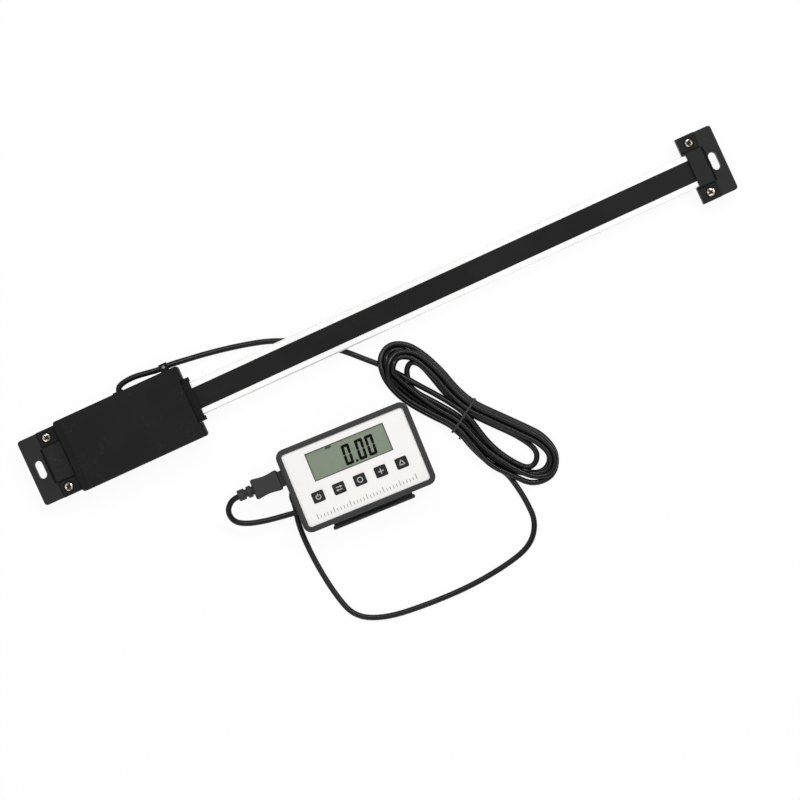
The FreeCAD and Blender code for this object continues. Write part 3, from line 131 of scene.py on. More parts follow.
shape = bmesh.new()
bmesh.ops.create_grid(shape, x_segments=1, y_segments=1, size=FLOOR_HALF,
                      matrix=Matrix.Translation((0, 0, FLOOR_DROP)))
floor = mesh_object("floor", shape)
paper = bpy.data.materials.new("white_paper")
paper.use_nodes = True
tree = paper.node_tree
tree.nodes.clear()
matt = node(tree, "ShaderNodeBsdfDiffuse", 0, 0)
matt.inputs["Color"].default_value = PAPER_TONE
glow = node(tree, "ShaderNodeEmission", 0, -150)
share = node(tree, "ShaderNodeMath", 0, 200, operation="MULTIPLY")
share.inputs[1].default_value = FLOOR_GLOW
blend = node(tree, "ShaderNodeMixShader", 300, 0)
out = node(tree, "ShaderNodeOutputMaterial", 500, 0)
wire(tree, seen_rays(tree, -700, 200), share.inputs[0])
wire(tree, share.outputs[0], blend.inputs[0])
wire(tree, matt.outputs[0], blend.inputs[1])
wire(tree, glow.outputs[0], blend.inputs[2])
wire(tree, blend.outputs[0], out.inputs["Surface"])
floor.data.materials.append(paper)
print("floor of white paper")

# %% Dome
DOME_LEVEL = 1.04
HORIZON = 0.28
CAP_LOW, CAP_HIGH = 0.70, 0.92

world = bpy.data.worlds.new("pale_dome")
scene.world = world
world.use_nodes = True
tree = world.node_tree
tree.nodes.clear()
place = node(tree, "ShaderNodeTexCoord", -800, 0)
height = node(tree, "ShaderNodeSeparateXYZ", -600, 0)
fade = node(tree, "ShaderNodeValToRGB", -400, 0)
fade.color_ramp.elements[0].position = CAP_LOW
fade.color_ramp.elements[0].color = (HORIZON, HORIZON, HORIZON, 1)
fade.color_ramp.elements[1].position = CAP_HIGH
fade.color_ramp.elements[1].color = (1.0, 1.0, 1.0, 1)
sky = node(tree, "ShaderNodeBackground", -100, 0)
sky.inputs["Strength"].default_value = DOME_LEVEL
out = node(tree, "ShaderNodeOutputWorld", 100, 0)
wire(tree, place.outputs["Generated"], height.inputs[0])
wire(tree, height.outputs["Z"], fade.inputs[0])
wire(tree, fade.outputs[0], sky.inputs["Color"])
wire(tree, sky.outputs[0], out.inputs["Surface"])
print("dome at a level of", DOME_LEVEL)

# %% Lamps
LAMPS = {
    "strip_lamp": (23.0, (2.2, 0.16), (0.85, 0.70, 1.5)),
    "fill_lamp": (7.0, (1.6, 1.6), (-1.3, -0.6, 1.3)),
    "edge_lamp": (11.0, (2.4, 0.6), (-0.77, -2.05, 0.4))}


def lamp(name, power, size, at):
    """A long or square lamp that faces the middle of the object, with its long side level."""
    light = bpy.data.lights.new(name, "AREA")
    light.energy = power
    light.shape = "RECTANGLE"
    light.size, light.size_y = size
    made = bpy.data.objects.new(name, light)
    made.location = at
    made.rotation_euler = (VIEW_MIDDLE - Vector(at)).to_track_quat("-Z", "Y").to_euler()
    scene.collection.objects.link(made)


for name, (power, size, at) in LAMPS.items():
    lamp(name, power, size, at)
print(len(LAMPS), "lamps")

# %% [markdown]
# ## Effects that finishes share
# Plastic, paint, rubber and metal look different mostly in how their surface breaks up light. Four
# effects do that here, each a node group with its own inputs: the fine grain of a moulding with the
# cloudy marks of handling, the fine lines of grinding, the dust that lies about, and wear along edges. A
# group is built once, and each finish that uses it sets its own values.

# %% Helpers for the shared effects
def new_group(name, inputs, outputs):
    """An empty node group with number sockets, and its two end nodes."""
    group = bpy.data.node_groups.new(name, "ShaderNodeTree")
    for label, value in inputs.items():
        socket = group.interface.new_socket(label, in_out="INPUT", socket_type="NodeSocketFloat")
        socket.default_value = value
    for label in outputs:
        group.interface.new_socket(label, in_out="OUTPUT", socket_type="NodeSocketFloat")
    return group, node(group, "NodeGroupInput", -900, 0), node(group, "NodeGroupOutput", 700, 0)


def noise(tree, x, y, scale, detail):
    """A noise texture of a scale per metre."""
    made = node(tree, "ShaderNodeTexNoise", x, y)
    made.inputs["Scale"].default_value = scale
    made.inputs["Detail"].default_value = detail
    return made


def ramp(tree, x, y, value, low, high, to=(0.0, 1.0)):
    """A value stretched from one range to another, with smooth ends."""
    made = node(tree, "ShaderNodeMapRange", x, y, interpolation_type="SMOOTHSTEP")
    wire(tree, value, made.inputs["Value"])
    made.inputs["From Min"].default_value = low
    made.inputs["From Max"].default_value = high
    made.inputs["To Min"].default_value = to[0]
    made.inputs["To Max"].default_value = to[1]
    return made.outputs["Result"]


print("helpers for groups, noise and ranges")

# %% [markdown]
# A moulding's grain is the etched skin of its tool, a fraction of a millimetre across. Handling leaves
# broad, faint clouds of shine on it. Two noises of very different scale give both.

# %% Grain and handling
FINE_GRAIN = 3000.0
CLOUD_SCALE = 38.0
CLOUD_RANGE = (0.32, 0.68)

grain_group, start, end = new_group("moulded_grain", {"Fineness": FINE_GRAIN}, ["Height", "Handling"])
place = node(grain_group, "ShaderNodeTexCoord", -700, -200)
fine = noise(grain_group, -400, 100, FINE_GRAIN, 2.0)
broad = noise(grain_group, -400, -200, CLOUD_SCALE, 4.0)
wire(grain_group, place.outputs["Object"], fine.inputs["Vector"])
wire(grain_group, place.outputs["Object"], broad.inputs["Vector"])
wire(grain_group, start.outputs["Fineness"], fine.inputs["Scale"])
wire(grain_group, fine.outputs[0], end.inputs["Height"])
clouds = ramp(grain_group, 0, -200, broad.outputs[0], *CLOUD_RANGE)
wire(grain_group, clouds, end.inputs["Handling"])
print("grain and handling")

# %% [markdown]
# Grinding leaves fine lines along the metal. A noise that is far finer across the piece than along it gives
# them.

# %% Ground lines
STREAK_RANGE = (0.3, 0.7)

line_group, start, end = new_group("ground_lines", {"Along": 20.0, "Across": 5000.0}, ["Lines"])
place = node(line_group, "ShaderNodeTexCoord", -700, -200)
scales = node(line_group, "ShaderNodeCombineXYZ", -600, 100)
stretch = node(line_group, "ShaderNodeVectorMath", -400, 0, operation="MULTIPLY")
streak = noise(line_group, -200, 0, 1.0, 3.0)
wire(line_group, start.outputs["Along"], scales.inputs["X"])
wire(line_group, start.outputs["Across"], scales.inputs["Y"])
wire(line_group, start.outputs["Across"], scales.inputs["Z"])
wire(line_group, place.outputs["Object"], stretch.inputs[0])
wire(line_group, scales.outputs[0], stretch.inputs[1])
wire(line_group, stretch.outputs[0], streak.inputs["Vector"])
streaks = ramp(line_group, 100, 0, streak.outputs[0], *STREAK_RANGE)
wire(line_group, streaks, end.inputs["Lines"])
print("ground lines")

# %% [markdown]
# Dust lies in specks that gather in drifts. One noise makes the specks, a broader one says where they
# gather, and the two are multiplied.

# %% Lying dust
SPECK_SCALE, SPECK_RANGE = 1400.0, (0.62, 0.74)
DRIFT_SCALE, DRIFT_RANGE = 60.0, (0.4, 0.7)

dust_group, start, end = new_group("lying_dust", {"Amount": 0.5}, ["Dust"])
place = node(dust_group, "ShaderNodeTexCoord", -700, -200)
specks = noise(dust_group, -400, 100, SPECK_SCALE, 1.0)
drift = noise(dust_group, -400, -200, DRIFT_SCALE, 3.0)
both = node(dust_group, "ShaderNodeMath", 200, 0, operation="MULTIPLY")
most = node(dust_group, "ShaderNodeMath", 400, 0, operation="MULTIPLY")
wire(dust_group, place.outputs["Object"], specks.inputs["Vector"])
wire(dust_group, place.outputs["Object"], drift.inputs["Vector"])
wire(dust_group, ramp(dust_group, -100, 100, specks.outputs[0], *SPECK_RANGE), both.inputs[0])
wire(dust_group, ramp(dust_group, -100, -200, drift.outputs[0], *DRIFT_RANGE), both.inputs[1])
wire(dust_group, both.outputs[0], most.inputs[0])
wire(dust_group, start.outputs["Amount"], most.inputs[1])
wire(dust_group, most.outputs[0], end.inputs["Dust"])
print("lying dust")

# %% [markdown]
# Paint wears where hands and tools meet it first, along the edges. The Bevel node gives the normal of a
# rounded edge, and where it differs from the face's own normal there is an edge. A noise breaks the wear
# into patches.

# %% Edge wear
EDGE_MATCH = (0.99, 0.8)
PATCH_SCALE, PATCH_RANGE = 420.0, (0.42, 0.66)

wear_group, start, end = new_group("edge_wear", {"Radius": 0.0003, "Amount": 0.5}, ["Wear"])
soft = node(wear_group, "ShaderNodeBevel", -600, 100, samples=4)
actual = node(wear_group, "ShaderNodeNewGeometry", -600, -100)
match = node(wear_group, "ShaderNodeVectorMath", -400, 0, operation="DOT_PRODUCT")
place = node(wear_group, "ShaderNodeTexCoord", -700, -300)
patch = noise(wear_group, -400, -300, PATCH_SCALE, 3.0)
both = node(wear_group, "ShaderNodeMath", 200, 0, operation="MULTIPLY")
most = node(wear_group, "ShaderNodeMath", 400, 0, operation="MULTIPLY")
wire(wear_group, start.outputs["Radius"], soft.inputs["Radius"])
wire(wear_group, soft.outputs[0], match.inputs[0])
wire(wear_group, actual.outputs["Normal"], match.inputs[1])
wire(wear_group, place.outputs["Object"], patch.inputs["Vector"])
wire(wear_group, ramp(wear_group, -100, 0, match.outputs["Value"], *EDGE_MATCH), both.inputs[0])
wire(wear_group, ramp(wear_group, -100, -300, patch.outputs[0], *PATCH_RANGE), both.inputs[1])
wire(wear_group, both.outputs[0], most.inputs[0])
wire(wear_group, start.outputs["Amount"], most.inputs[1])
wire(wear_group, most.outputs[0], end.inputs["Wear"])
print("edge wear")

# %% [markdown]
# ## Finishes
# Each finish is one Principled shader. In most of them the colour moves a little between two tones, the
# roughness is cloudy, and a bump gives the grain. Black plastics keep a low specular level, because the
# white dome would otherwise lift them to grey.

# %% Helpers for finishes
# The places of a Mix node's two colours and its result among its sockets.
MIX_FIRST, MIX_SECOND, MIX_RESULT = 6, 7, 2
BUMP_STRENGTH = 0.6


def finish(name, roughness, metallic=0.0, specular=0.5):
    """A material with a plain Principled shader."""
    made = bpy.data.materials.new(name)
    made.use_nodes = True
    tree = made.node_tree
    tree.nodes.clear()
    shader = node(tree, "ShaderNodeBsdfPrincipled", 500, 0)
    out = node(tree, "ShaderNodeOutputMaterial", 800, 0)
    shader.inputs["Roughness"].default_value = roughness
    shader.inputs["Metallic"].default_value = metallic
    shader.inputs["Specular IOR Level"].default_value = specular
    wire(tree, shader.outputs[0], out.inputs["Surface"])
    return made, tree, shader


def effect(tree, group, x, y, **values):
    """A shared effect in a material, with its inputs set."""
    made = node(tree, "ShaderNodeGroup", x, y, node_tree=group)
    for label, value in values.items():
        made.inputs[label].default_value = value
    return made


def mixed(tree, x, y, mask, first, second):
    """A colour between two by a mask; the first may be another node's colour."""
    made = node(tree, "ShaderNodeMix", x, y, data_type="RGBA")
    wire(tree, mask, made.inputs[0])
    if isinstance(first, bpy.types.NodeSocket):
        wire(tree, first, made.inputs[MIX_FIRST])
    else:
        made.inputs[MIX_FIRST].default_value = (*first, 1)
    made.inputs[MIX_SECOND].default_value = (*second, 1)
    return made.outputs[MIX_RESULT]


def bumped(tree, shader, height, depth):
    """A relief of a depth in millimetres under the shader."""
    bump = node(tree, "ShaderNodeBump", 250, -300)
    bump.inputs["Strength"].default_value = BUMP_STRENGTH
    bump.inputs["Distance"].default_value = depth * MM
    wire(tree, height, bump.inputs["Height"])
    wire(tree, bump.outputs[0], shader.inputs["Normal"])


print("helpers for finishes")

# %% [markdown]
# A moulded finish takes its tone and how far the tone varies, its roughness and specular level, the
# fineness and depth of its grain, and its dust. The plastics and rubbers here are one line of such values
# each.

# %% Plastics and rubbers
DUST_SHARE, DUST_LIFT = 0.7, 0.07
CLOUDY = (-0.05, 0.06)


def moulded(name, tone, spread, roughness, specular, fineness=FINE_GRAIN, depth=0.02, dust=0.3):
    """A moulded plastic, a rubber or an ink with grain, handling marks and a little dust."""
    made, tree, shader = finish(name, roughness, specular=specular)
    grain = effect(tree, grain_group, -500, 0, Fineness=fineness)
    dark = [part * (1 - spread) for part in tone]
    light = [part * (1 + spread) for part in tone]
    pale = [part * DUST_SHARE + DUST_LIFT for part in tone]
    color = mixed(tree, -200, 150, grain.outputs["Handling"], dark, light)
    if dust:
        specks = effect(tree, dust_group, -500, -250, Amount=dust)
        color = mixed(tree, 100, 150, specks.outputs["Dust"], color, pale)
    wire(tree, color, shader.inputs["Base Color"])
    span = [roughness + step for step in CLOUDY]
    cloudy = ramp(tree, 0, -100, grain.outputs["Handling"], 0, 1, span)
    wire(tree, cloudy, shader.inputs["Roughness"])
    bumped(tree, shader, grain.outputs["Height"], depth)
    return made


finishes = {
    "tape_film": moulded("tape_film", (0.0065, 0.0063, 0.0065), 0.15, 0.36, 0.14, 5000, 0.004, 0.1),
    "wiper_rubber": moulded("wiper_rubber", (0.006, 0.006, 0.0062), 0.2, 0.6, 0.12, 2200, 0.03, 0.25),
    "guide_plastic": moulded("guide_plastic", (0.78, 0.78, 0.74), 0.04, 0.35, 0.5, 1800, 0.01, 0.1),
    "chip_black": moulded("chip_black", (0.02, 0.02, 0.02), 0.15, 0.5, 0.3, 4000, 0.01, 0.2),
    "head_black": moulded("head_black", (0.0068, 0.0068, 0.0072), 0.16, 0.5, 0.13, 3200, 0.02, 0.3),
    "case_grey": moulded("case_grey", (0.027, 0.027, 0.028), 0.1, 0.46, 0.26, 2600, 0.025, 0.2),
    "panel_white": moulded("panel_white", (0.81, 0.795, 0.78), 0.012, 0.45, 0.3, 2600, 0.006, 0.06),
    "key_black": moulded("key_black", (0.012, 0.012, 0.0125), 0.15, 0.5, 0.2, 2600, 0.02, 0.25),
    "mat_rubber": moulded("mat_rubber", (0.12, 0.12, 0.12), 0.1, 0.7, 0.3, 1800, 0.03, 0.2),
    "cord_black": moulded("cord_black", (0.003, 0.003, 0.0032), 0.18, 0.31, 0.26, 1500, 0.0005, 0.03),
    "tie_black": moulded("tie_black", (0.012, 0.0118, 0.0118), 0.15, 0.4, 0.45, 1500, 0.02, 0.3),
}
plug_black = moulded("plug_black", (0.021, 0.021, 0.0215), 0.12, 0.5, 0.3, 2400, 0.03, 0.25)
print(len(finishes) + 1, "moulded finishes")

# %% [markdown]
# The brackets are painted black. Their paint is thin at the edges, where handling rubs it down to a
# duller grey. Each bracket's clamp also gets painted shade, near black, in its grooves and round its
# screws, where shade falls. These places lie lower than its top, so a mask on the height finds them.

# %% Bracket paint
GROOVE_LOW = 12.0 * MM
GROOVE_HIGH = 13.5 * MM
PAINT_ROUGH = (0.42, 0.54)
PAINT_DUST = (0.07, 0.07, 0.07)
RUBBED_GREY = (0.085, 0.085, 0.09)
# Near black of the painted shade in the clamp's grooves and low places.
PAINTED_SHADE = (0.0012, 0.0012, 0.0012)


def painted(name, tone, low_shade):
    """Black paint with worn edges, and with painted shade in the clamp's low places if asked."""
    made, tree, shader = finish(name, sum(PAINT_ROUGH) / 2, specular=0.16)
    grain = effect(tree, grain_group, -900, 0, Fineness=2600.0)
    wear = effect(tree, wear_group, -900, -250, Radius=0.00025, Amount=0.7)
    specks = effect(tree, dust_group, -900, -450, Amount=0.3)
    dark = [part * 0.85 for part in tone]
    light = [part * 1.15 for part in tone]
    color = mixed(tree, -600, 150, grain.outputs["Handling"], dark, light)
    color = mixed(tree, -400, 150, specks.outputs["Dust"], color, PAINT_DUST)
    color = mixed(tree, -200, 150, wear.outputs["Wear"], color, RUBBED_GREY)
    if low_shade:
        # Painted shade: the clamp's grooves and low places are darkened by their height.
        place = node(tree, "ShaderNodeTexCoord", -900, 400)
        height = node(tree, "ShaderNodeSeparateXYZ", -700, 400)
        wire(tree, place.outputs["Object"], height.inputs[0])
        low = ramp(tree, -400, 400, height.outputs["Z"], GROOVE_HIGH, GROOVE_LOW)
        color = mixed(tree, 0, 150, low, color, PAINTED_SHADE)
    wire(tree, color, shader.inputs["Base Color"])
    cloudy = ramp(tree, 0, -100, grain.outputs["Handling"], 0, 1, PAINT_ROUGH)
    wire(tree, cloudy, shader.inputs["Roughness"])
    bumped(tree, shader, grain.outputs["Height"], 0.03)
    return made


finishes["bracket_black"] = painted("bracket_black", (0.0150, 0.0150, 0.0160), False)
clamp_black = painted("clamp_black", (0.0095, 0.0095, 0.0100), True)
print("two black paints")

# %% [markdown]
# The metals differ in tone, in roughness and in how fine their ground lines are along and across the
# piece. Where both are equal there are no lines, only an even, fine relief, as on cast or plated metal.

# %% Metals
DULL_SHARE = 0.93
SATIN = (-0.05, 0.07)


def metal(name, tone, roughness, along, across, depth=0.004):
    """A bare or plated metal with fine ground lines and cloudy handling."""
    made, tree, shader = finish(name, roughness, metallic=1.0)
    lines = effect(tree, line_group, -500, 0, Along=along, Across=across)
    grain = effect(tree, grain_group, -500, -250)
    dark = [part * DULL_SHARE for part in tone]
    wire(tree, mixed(tree, 0, 150, grain.outputs["Handling"], dark, tone), shader.inputs["Base Color"])
    span = [roughness + step for step in SATIN]
    satin = ramp(tree, 0, -100, lines.outputs["Lines"], 0, 1, span)
    wire(tree, satin, shader.inputs["Roughness"])
    bumped(tree, shader, lines.outputs["Lines"], depth)
    return made


finishes.update({
    "beam_steel": metal("beam_steel", (0.93, 0.93, 0.925), 0.24, 12.0, 6000.0),
    "plate_steel": metal("plate_steel", (0.62, 0.63, 0.65), 0.34, 60.0, 3000.0),
    "spring_steel": metal("spring_steel", (0.72, 0.71, 0.69), 0.26, 60.0, 4000.0),
    "slider_metal": metal("slider_metal", (0.50, 0.51, 0.52), 0.48, 900.0, 900.0, 0.02),
    "screw_nickel": metal("screw_nickel", (0.80, 0.77, 0.72), 0.22, 2500.0, 2500.0),
})
pin_dull = metal("pin_dull", (0.24, 0.235, 0.23), 0.34, 900.0, 900.0)
print("6 metals")

# %% [markdown]
# The beam's broad faces are ground bright, while its sides and broken edges stay dull, so they scatter
# light instead of mirroring what lies beside the beam. The direction that a face looks in tells them apart.

# %% Dull sides of the beam
SIDE_LOW, SIDE_HIGH = 0.8, 0.95
SIDE_METAL = 0.25

tree = finishes["beam_steel"].node_tree
shader = next(part for part in tree.nodes if part.type == "BSDF_PRINCIPLED")
place = node(tree, "ShaderNodeTexCoord", -900, 500)
facing = node(tree, "ShaderNodeSeparateXYZ", -700, 500)
level = node(tree, "ShaderNodeMath", -550, 500, operation="ABSOLUTE")
wire(tree, place.outputs["Normal"], facing.inputs[0])
wire(tree, facing.outputs["Z"], level.inputs[0])
bright = ramp(tree, -400, 500, level.outputs[0], SIDE_LOW, SIDE_HIGH, (SIDE_METAL, 1.0))
wire(tree, bright, shader.inputs["Metallic"])
print("dull sides on the beam")

# %% [markdown]
# A screw's cross recess and the ring round its head lie in shade, and that shade is painted in a dark
# brown. The four bracket screws stand upright, so a mask on their height finds the recess and the ring,
# and a noise darkens patches of the plating to the same brown.

# %% Bracket screws
SCREW_LOW = 12.35 * MM
SCREW_HIGH = 12.75 * MM
PLATING = ((0.80, 0.75, 0.68), (0.88, 0.83, 0.76))
SHADE_AND_PATCH_BROWN = (0.045, 0.032, 0.022)
DARKENED_ROUGH = (0.18, 0.6)

made, tree, shader = finish("bracket_screw_nickel", 0.2, metallic=1.0)
place = node(tree, "ShaderNodeTexCoord", -900, 100)
height = node(tree, "ShaderNodeSeparateXYZ", -700, 100)
patch = noise(tree, -700, 300, 520.0, 1.0)
grain = effect(tree, grain_group, -700, -200, Fineness=2500.0)
wire(tree, place.outputs["Object"], height.inputs[0])
wire(tree, place.outputs["Object"], patch.inputs["Vector"])
# Painted shade in the cross recess and the ring round the head, found by their height.
recess_shade = ramp(tree, -400, 100, height.outputs["Z"], SCREW_HIGH, SCREW_LOW)
# A noise darkens patches of the plating.
dark_patches = ramp(tree, -400, 300, patch.outputs[0], 0.45, 0.53, (0.0, 0.85))
shade_and_patches = node(tree, "ShaderNodeMath", -200, 250, operation="MAXIMUM")
wire(tree, recess_shade, shade_and_patches.inputs[0])
wire(tree, dark_patches, shade_and_patches.inputs[1])
plate = mixed(tree, -100, 0, grain.outputs["Handling"], *PLATING)
color = mixed(tree, 150, 150, shade_and_patches.outputs[0], plate, SHADE_AND_PATCH_BROWN)
wire(tree, color, shader.inputs["Base Color"])
wire(tree, ramp(tree, 0, -100, shade_and_patches.outputs[0], 0, 1, DARKENED_ROUGH), shader.inputs["Roughness"])
bumped(tree, shader, grain.outputs["Height"], 0.006)
bracket_screw = made
print("dulled plating on the bracket screws")

# %% [markdown]
# The display's plate is a grey-green, softly cloudy. The boards are coated in green solder mask over
# faint copper, the cells have a plain blue jacket, and the tape under the film has the fine bars that the
# reader counts.

# %% Display and boards
TRACE_SCALE, TRACE_EDGE = 260.0, (0.06, 0.10)
COPPER_GREEN, MASK_GREEN = (0.05, 0.26, 0.10), (0.02, 0.15, 0.06)

finishes["lcd_grey"] = moulded("lcd_grey", (0.245, 0.293, 0.219), 0.02, 0.4, 0.2, 1500, 0.002, 0.0)

made, tree, shader = finish("board_green", 0.35, specular=0.5)
place = node(tree, "ShaderNodeTexCoord", -900, 0)
runs = node(tree, "ShaderNodeTexVoronoi", -600, 0, feature="DISTANCE_TO_EDGE", distance="MANHATTAN")
runs.inputs["Scale"].default_value = TRACE_SCALE
wire(tree, place.outputs["Object"], runs.inputs["Vector"])
traces = ramp(tree, -300, 0, runs.outputs["Distance"], *TRACE_EDGE)
wire(tree, mixed(tree, 0, 100, traces, COPPER_GREEN, MASK_GREEN), shader.inputs["Base Color"])
bumped(tree, shader, traces, 0.02)
finishes["board_green"] = made
print("display plate and boards")

# %% Cells and tape
JACKET_BLUES = ((0.05, 0.16, 0.30), (0.07, 0.20, 0.36))
BAR_SCALE, BAR_EDGE = 62.0, (0.45, 0.55)
BAR_BLACK, BAR_COPPER = (0.02, 0.02, 0.02), (0.45, 0.33, 0.16)

made, tree, shader = finish("cell_jacket", 0.3, specular=0.5)
grain = effect(tree, grain_group, -500, 0, Fineness=1200.0)
wire(tree, mixed(tree, 0, 100, grain.outputs["Handling"], *JACKET_BLUES), shader.inputs["Base Color"])
bumped(tree, shader, grain.outputs["Height"], 0.01)
finishes["cell_jacket"] = made

made, tree, shader = finish("tape", 0.4, specular=0.4)
place = node(tree, "ShaderNodeTexCoord", -900, 0)
bars = node(tree, "ShaderNodeTexWave", -600, 0, wave_type="BANDS", bands_direction="X")
bars.inputs["Scale"].default_value = BAR_SCALE
wire(tree, place.outputs["Object"], bars.inputs["Vector"])
edges = ramp(tree, -300, 0, bars.outputs[1], *BAR_EDGE)
wire(tree, mixed(tree, 0, 100, edges, BAR_BLACK, BAR_COPPER), shader.inputs["Base Color"])
finishes["tape"] = made
print("cells and tape")

# %% [markdown]
# The window is clear plastic. A pane this thin hardly bends light, so it needs no glass shader: it is a
# nearly transparent sheet with a faint green tint and a gloss of its own.

# %% Clear window
PANE_TINTS = ((0.03, 0.04, 0.03), (0.04, 0.05, 0.04))
PANE_ALPHA = 0.06

made, tree, shader = finish("window_clear", 0.06, specular=0.12)
grain = effect(tree, grain_group, -500, 0, Fineness=900.0)
wire(tree, mixed(tree, 0, 100, grain.outputs["Handling"], *PANE_TINTS), shader.inputs["Base Color"])
shader.inputs["Alpha"].default_value = PANE_ALPHA
finishes["window_clear"] = made
print(len(finishes), "finishes for the CAD slots")

# %% [markdown]
# ## Finishes on the CAD pieces
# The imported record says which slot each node's finish comes from, so one loop dresses them all. The
# plug's mouldings are a greyer black than the lead that shares their slot, the clamps are darker than
# the plates under them, and the bracket screws and the clip's pin have their own dulled metal.

# %% Dress the nodes
OWN_FINISH = {
    "plug_overmould": plug_black, "plug_relief": plug_black, "bracket_screws": bracket_screw,
    "bracket_clamp_near": clamp_black, "bracket_clamp_far": clamp_black, "clip_pin": pin_dull}

for part in frame["record"]["subparts"]:
    dressed = frame["nodes"][part["node"]]
    skin = OWN_FINISH.get(part["node"], finishes[part["material_slot"]])
    dressed.data.materials.clear()
    dressed.data.materials.append(skin)

# %% [markdown]
# ## Lead
# The lead is one cord, 3.3 mm thick, that leaves a grommet in the head's side, runs through a clip and
# under the beam, winds through a hank of five turns and ends in the plug at the readout. It is one smooth
# spline. The free stretches are a few points chosen along the route. In the hank a loop lays the turns:
# each is the same long loop moved in or out beside its neighbours, on the table or on the turns below.

# %% Route of the lead's two free stretches, in millimetres
CORD_R = 1.65
CORD_Z = CORD_R + 0.01
LEAD_Z = 7.5
PLUG_Z = 14.075
LEAD_ROUTE = [
    (1.8, 15.5, LEAD_Z), (1.9, 23.3, LEAD_Z), (6.0, 25.6, LEAD_Z), (13.5, 26.1, LEAD_Z),
    (20.8, 25.0, LEAD_Z), (28.2, 23.7, LEAD_Z), (34.6, 23.9, 7.3), (43.0, 22.8, 5.0),
    (58.0, 20.8, 2.5), (76.0, 17.2, CORD_Z), (94.0, 12.2, CORD_Z), (112.0, 2.5, CORD_Z),
    (127.0, -9.0, CORD_Z), (138.5, -21.0, CORD_Z)]
TAIL_ROUTE = [
    (177.3, -103.8, CORD_Z), (183.2, -111.8, CORD_Z), (185.2, -119.6, CORD_Z), (186.8, -130.7, CORD_Z),
    (186.9, -144.2, CORD_Z), (178.3, -155.2, CORD_Z), (161.0, -159.6, CORD_Z),
    (137.0, -161.9, CORD_Z), (111.0, -161.1, CORD_Z), (86.5, -158.3, CORD_Z),
    (70.6, -150.3, CORD_Z), (65.9, -134.0, CORD_Z), (63.4, -114.0, CORD_Z),
    (63.0, -97.0, CORD_Z), (64.0, -86.5, CORD_Z), (66.2, -79.0, CORD_Z), (66.4, -70.6, CORD_Z),
    (77.0, -67.5, CORD_Z), (82.3, -75.0, CORD_Z), (78.5, -82.5, 2.6), (69.0, -83.0, 5.6),
    (58.5, -81.3, 5.5), (47.5, -79.5, 6.4), (37.3, -76.6, 8.2), (31.0, -72.4, 10.2),
    (30.2, -65.6, 12.2), (34.6, -61.0, 13.6), (40.1, -60.29, PLUG_Z), (45.5, -60.52, PLUG_Z)]
print(len(LEAD_ROUTE), "points to the hank and", len(TAIL_ROUTE), "from it to the plug")

# %% [markdown]
# The hank's loop is given once, as its left side, its lower bight, its right side and its upper bight.
# Each turn is pushed out or in along the loop's normal, and lies on the table or on the turns below. The
# first turn is the smallest, so its two bights are listed point by point. The incoming lead passes over its
# upper bight, goes through the tie on top, and joins the left side below.

# %% The loop and how a turn passes it
LEFT = [(146.2, -31.5), (146.8, -38.7), (151.4, -48.7), (160.4, -61.7), (170.9, -74.5), (177.4, -89.7),
        (182.9, -100.7), (189.4, -111.7)]
LOWER = [(196.6, -119.3), (205.4, -120.2), (211.2, -113.5)]
RIGHT = [(208.4, -102.7), (200.4, -93.2), (190.4, -81.7), (179.5, -69.1), (173.9, -56.7), (170.9, -44.7),
         (165.4, -31.7)]
UPPER = [(160.2, -24.6), (153.4, -21.6), (148.0, -24.6)]
LOOP = LEFT + LOWER + RIGHT + UPPER
WAIST = {LEFT[4], RIGHT[3]}
UNDER_TIE = 1.1
STACK = 2.9
STILL = Vector((0, 0))


def outward(index):
    """The loop's outward normal at one of its points."""
    before = Vector(LOOP[index - 1])
    after = Vector(LOOP[(index + 1) % len(LOOP)])
    along = (after - before).normalized()
    return Vector((along.y, -along.x))


def laid(point, out, layer, pull=STILL, lift=0.0):
    """A point of the loop as one turn passes it, in millimetres."""
    flat = Vector(point) + out * outward(LOOP.index(point)) + pull
    waist = UNDER_TIE if point in WAIST else 0.0
    return (flat.x, flat.y, CORD_Z + STACK * layer + waist + lift)


print(len(LOOP), "points round the loop")

# %% The first turn
OVER_LEAD = 3.4
FIRST_RUN = [
    (142.0, -24.4, CORD_Z), (149.0, -32.6, CORD_Z), (153.4, -38.4, CORD_Z + OVER_LEAD),
    (158.0, -45.0, CORD_Z + OVER_LEAD), (167.0, -56.6, 2.6), (176.5, -71.2, 6.6), (179.9, -88.6, 4.6),
    (184.3, -99.9, 4.5), (191.2, -110.4, 3.0)]
FIRST_LOWER = [(196.4, -114.9, CORD_Z), (202.0, -112.9, CORD_Z), (204.3, -106.4, CORD_Z)]
FIRST_UPPER = [(164.8, -35.6, CORD_Z), (160.4, -31.4, CORD_Z), (156.0, -34.4, CORD_Z),
               (154.4, -40.2, CORD_Z)]
FIRST_RIGHT = -3.4
FIRST_LEFT = (-3.2, -4.2, -3.0, -1.1, -0.5, -1.0)

hank = FIRST_RUN + FIRST_LOWER
hank += [laid(point, FIRST_RIGHT, 0) for point in RIGHT[1:6]]
hank += FIRST_UPPER
hank += [laid(point, out, 0) for point, out in zip(LEFT[2:], FIRST_LEFT)]
print(len(hank), "points in the first turn")

# %% [markdown]
# Each of the other turns says how far out it lies on each stretch, which layer it lies in there, and how
# far its upper bight is pulled towards the tie. Where it comes round the upper bight it is lifted over the
# lead that passes below.

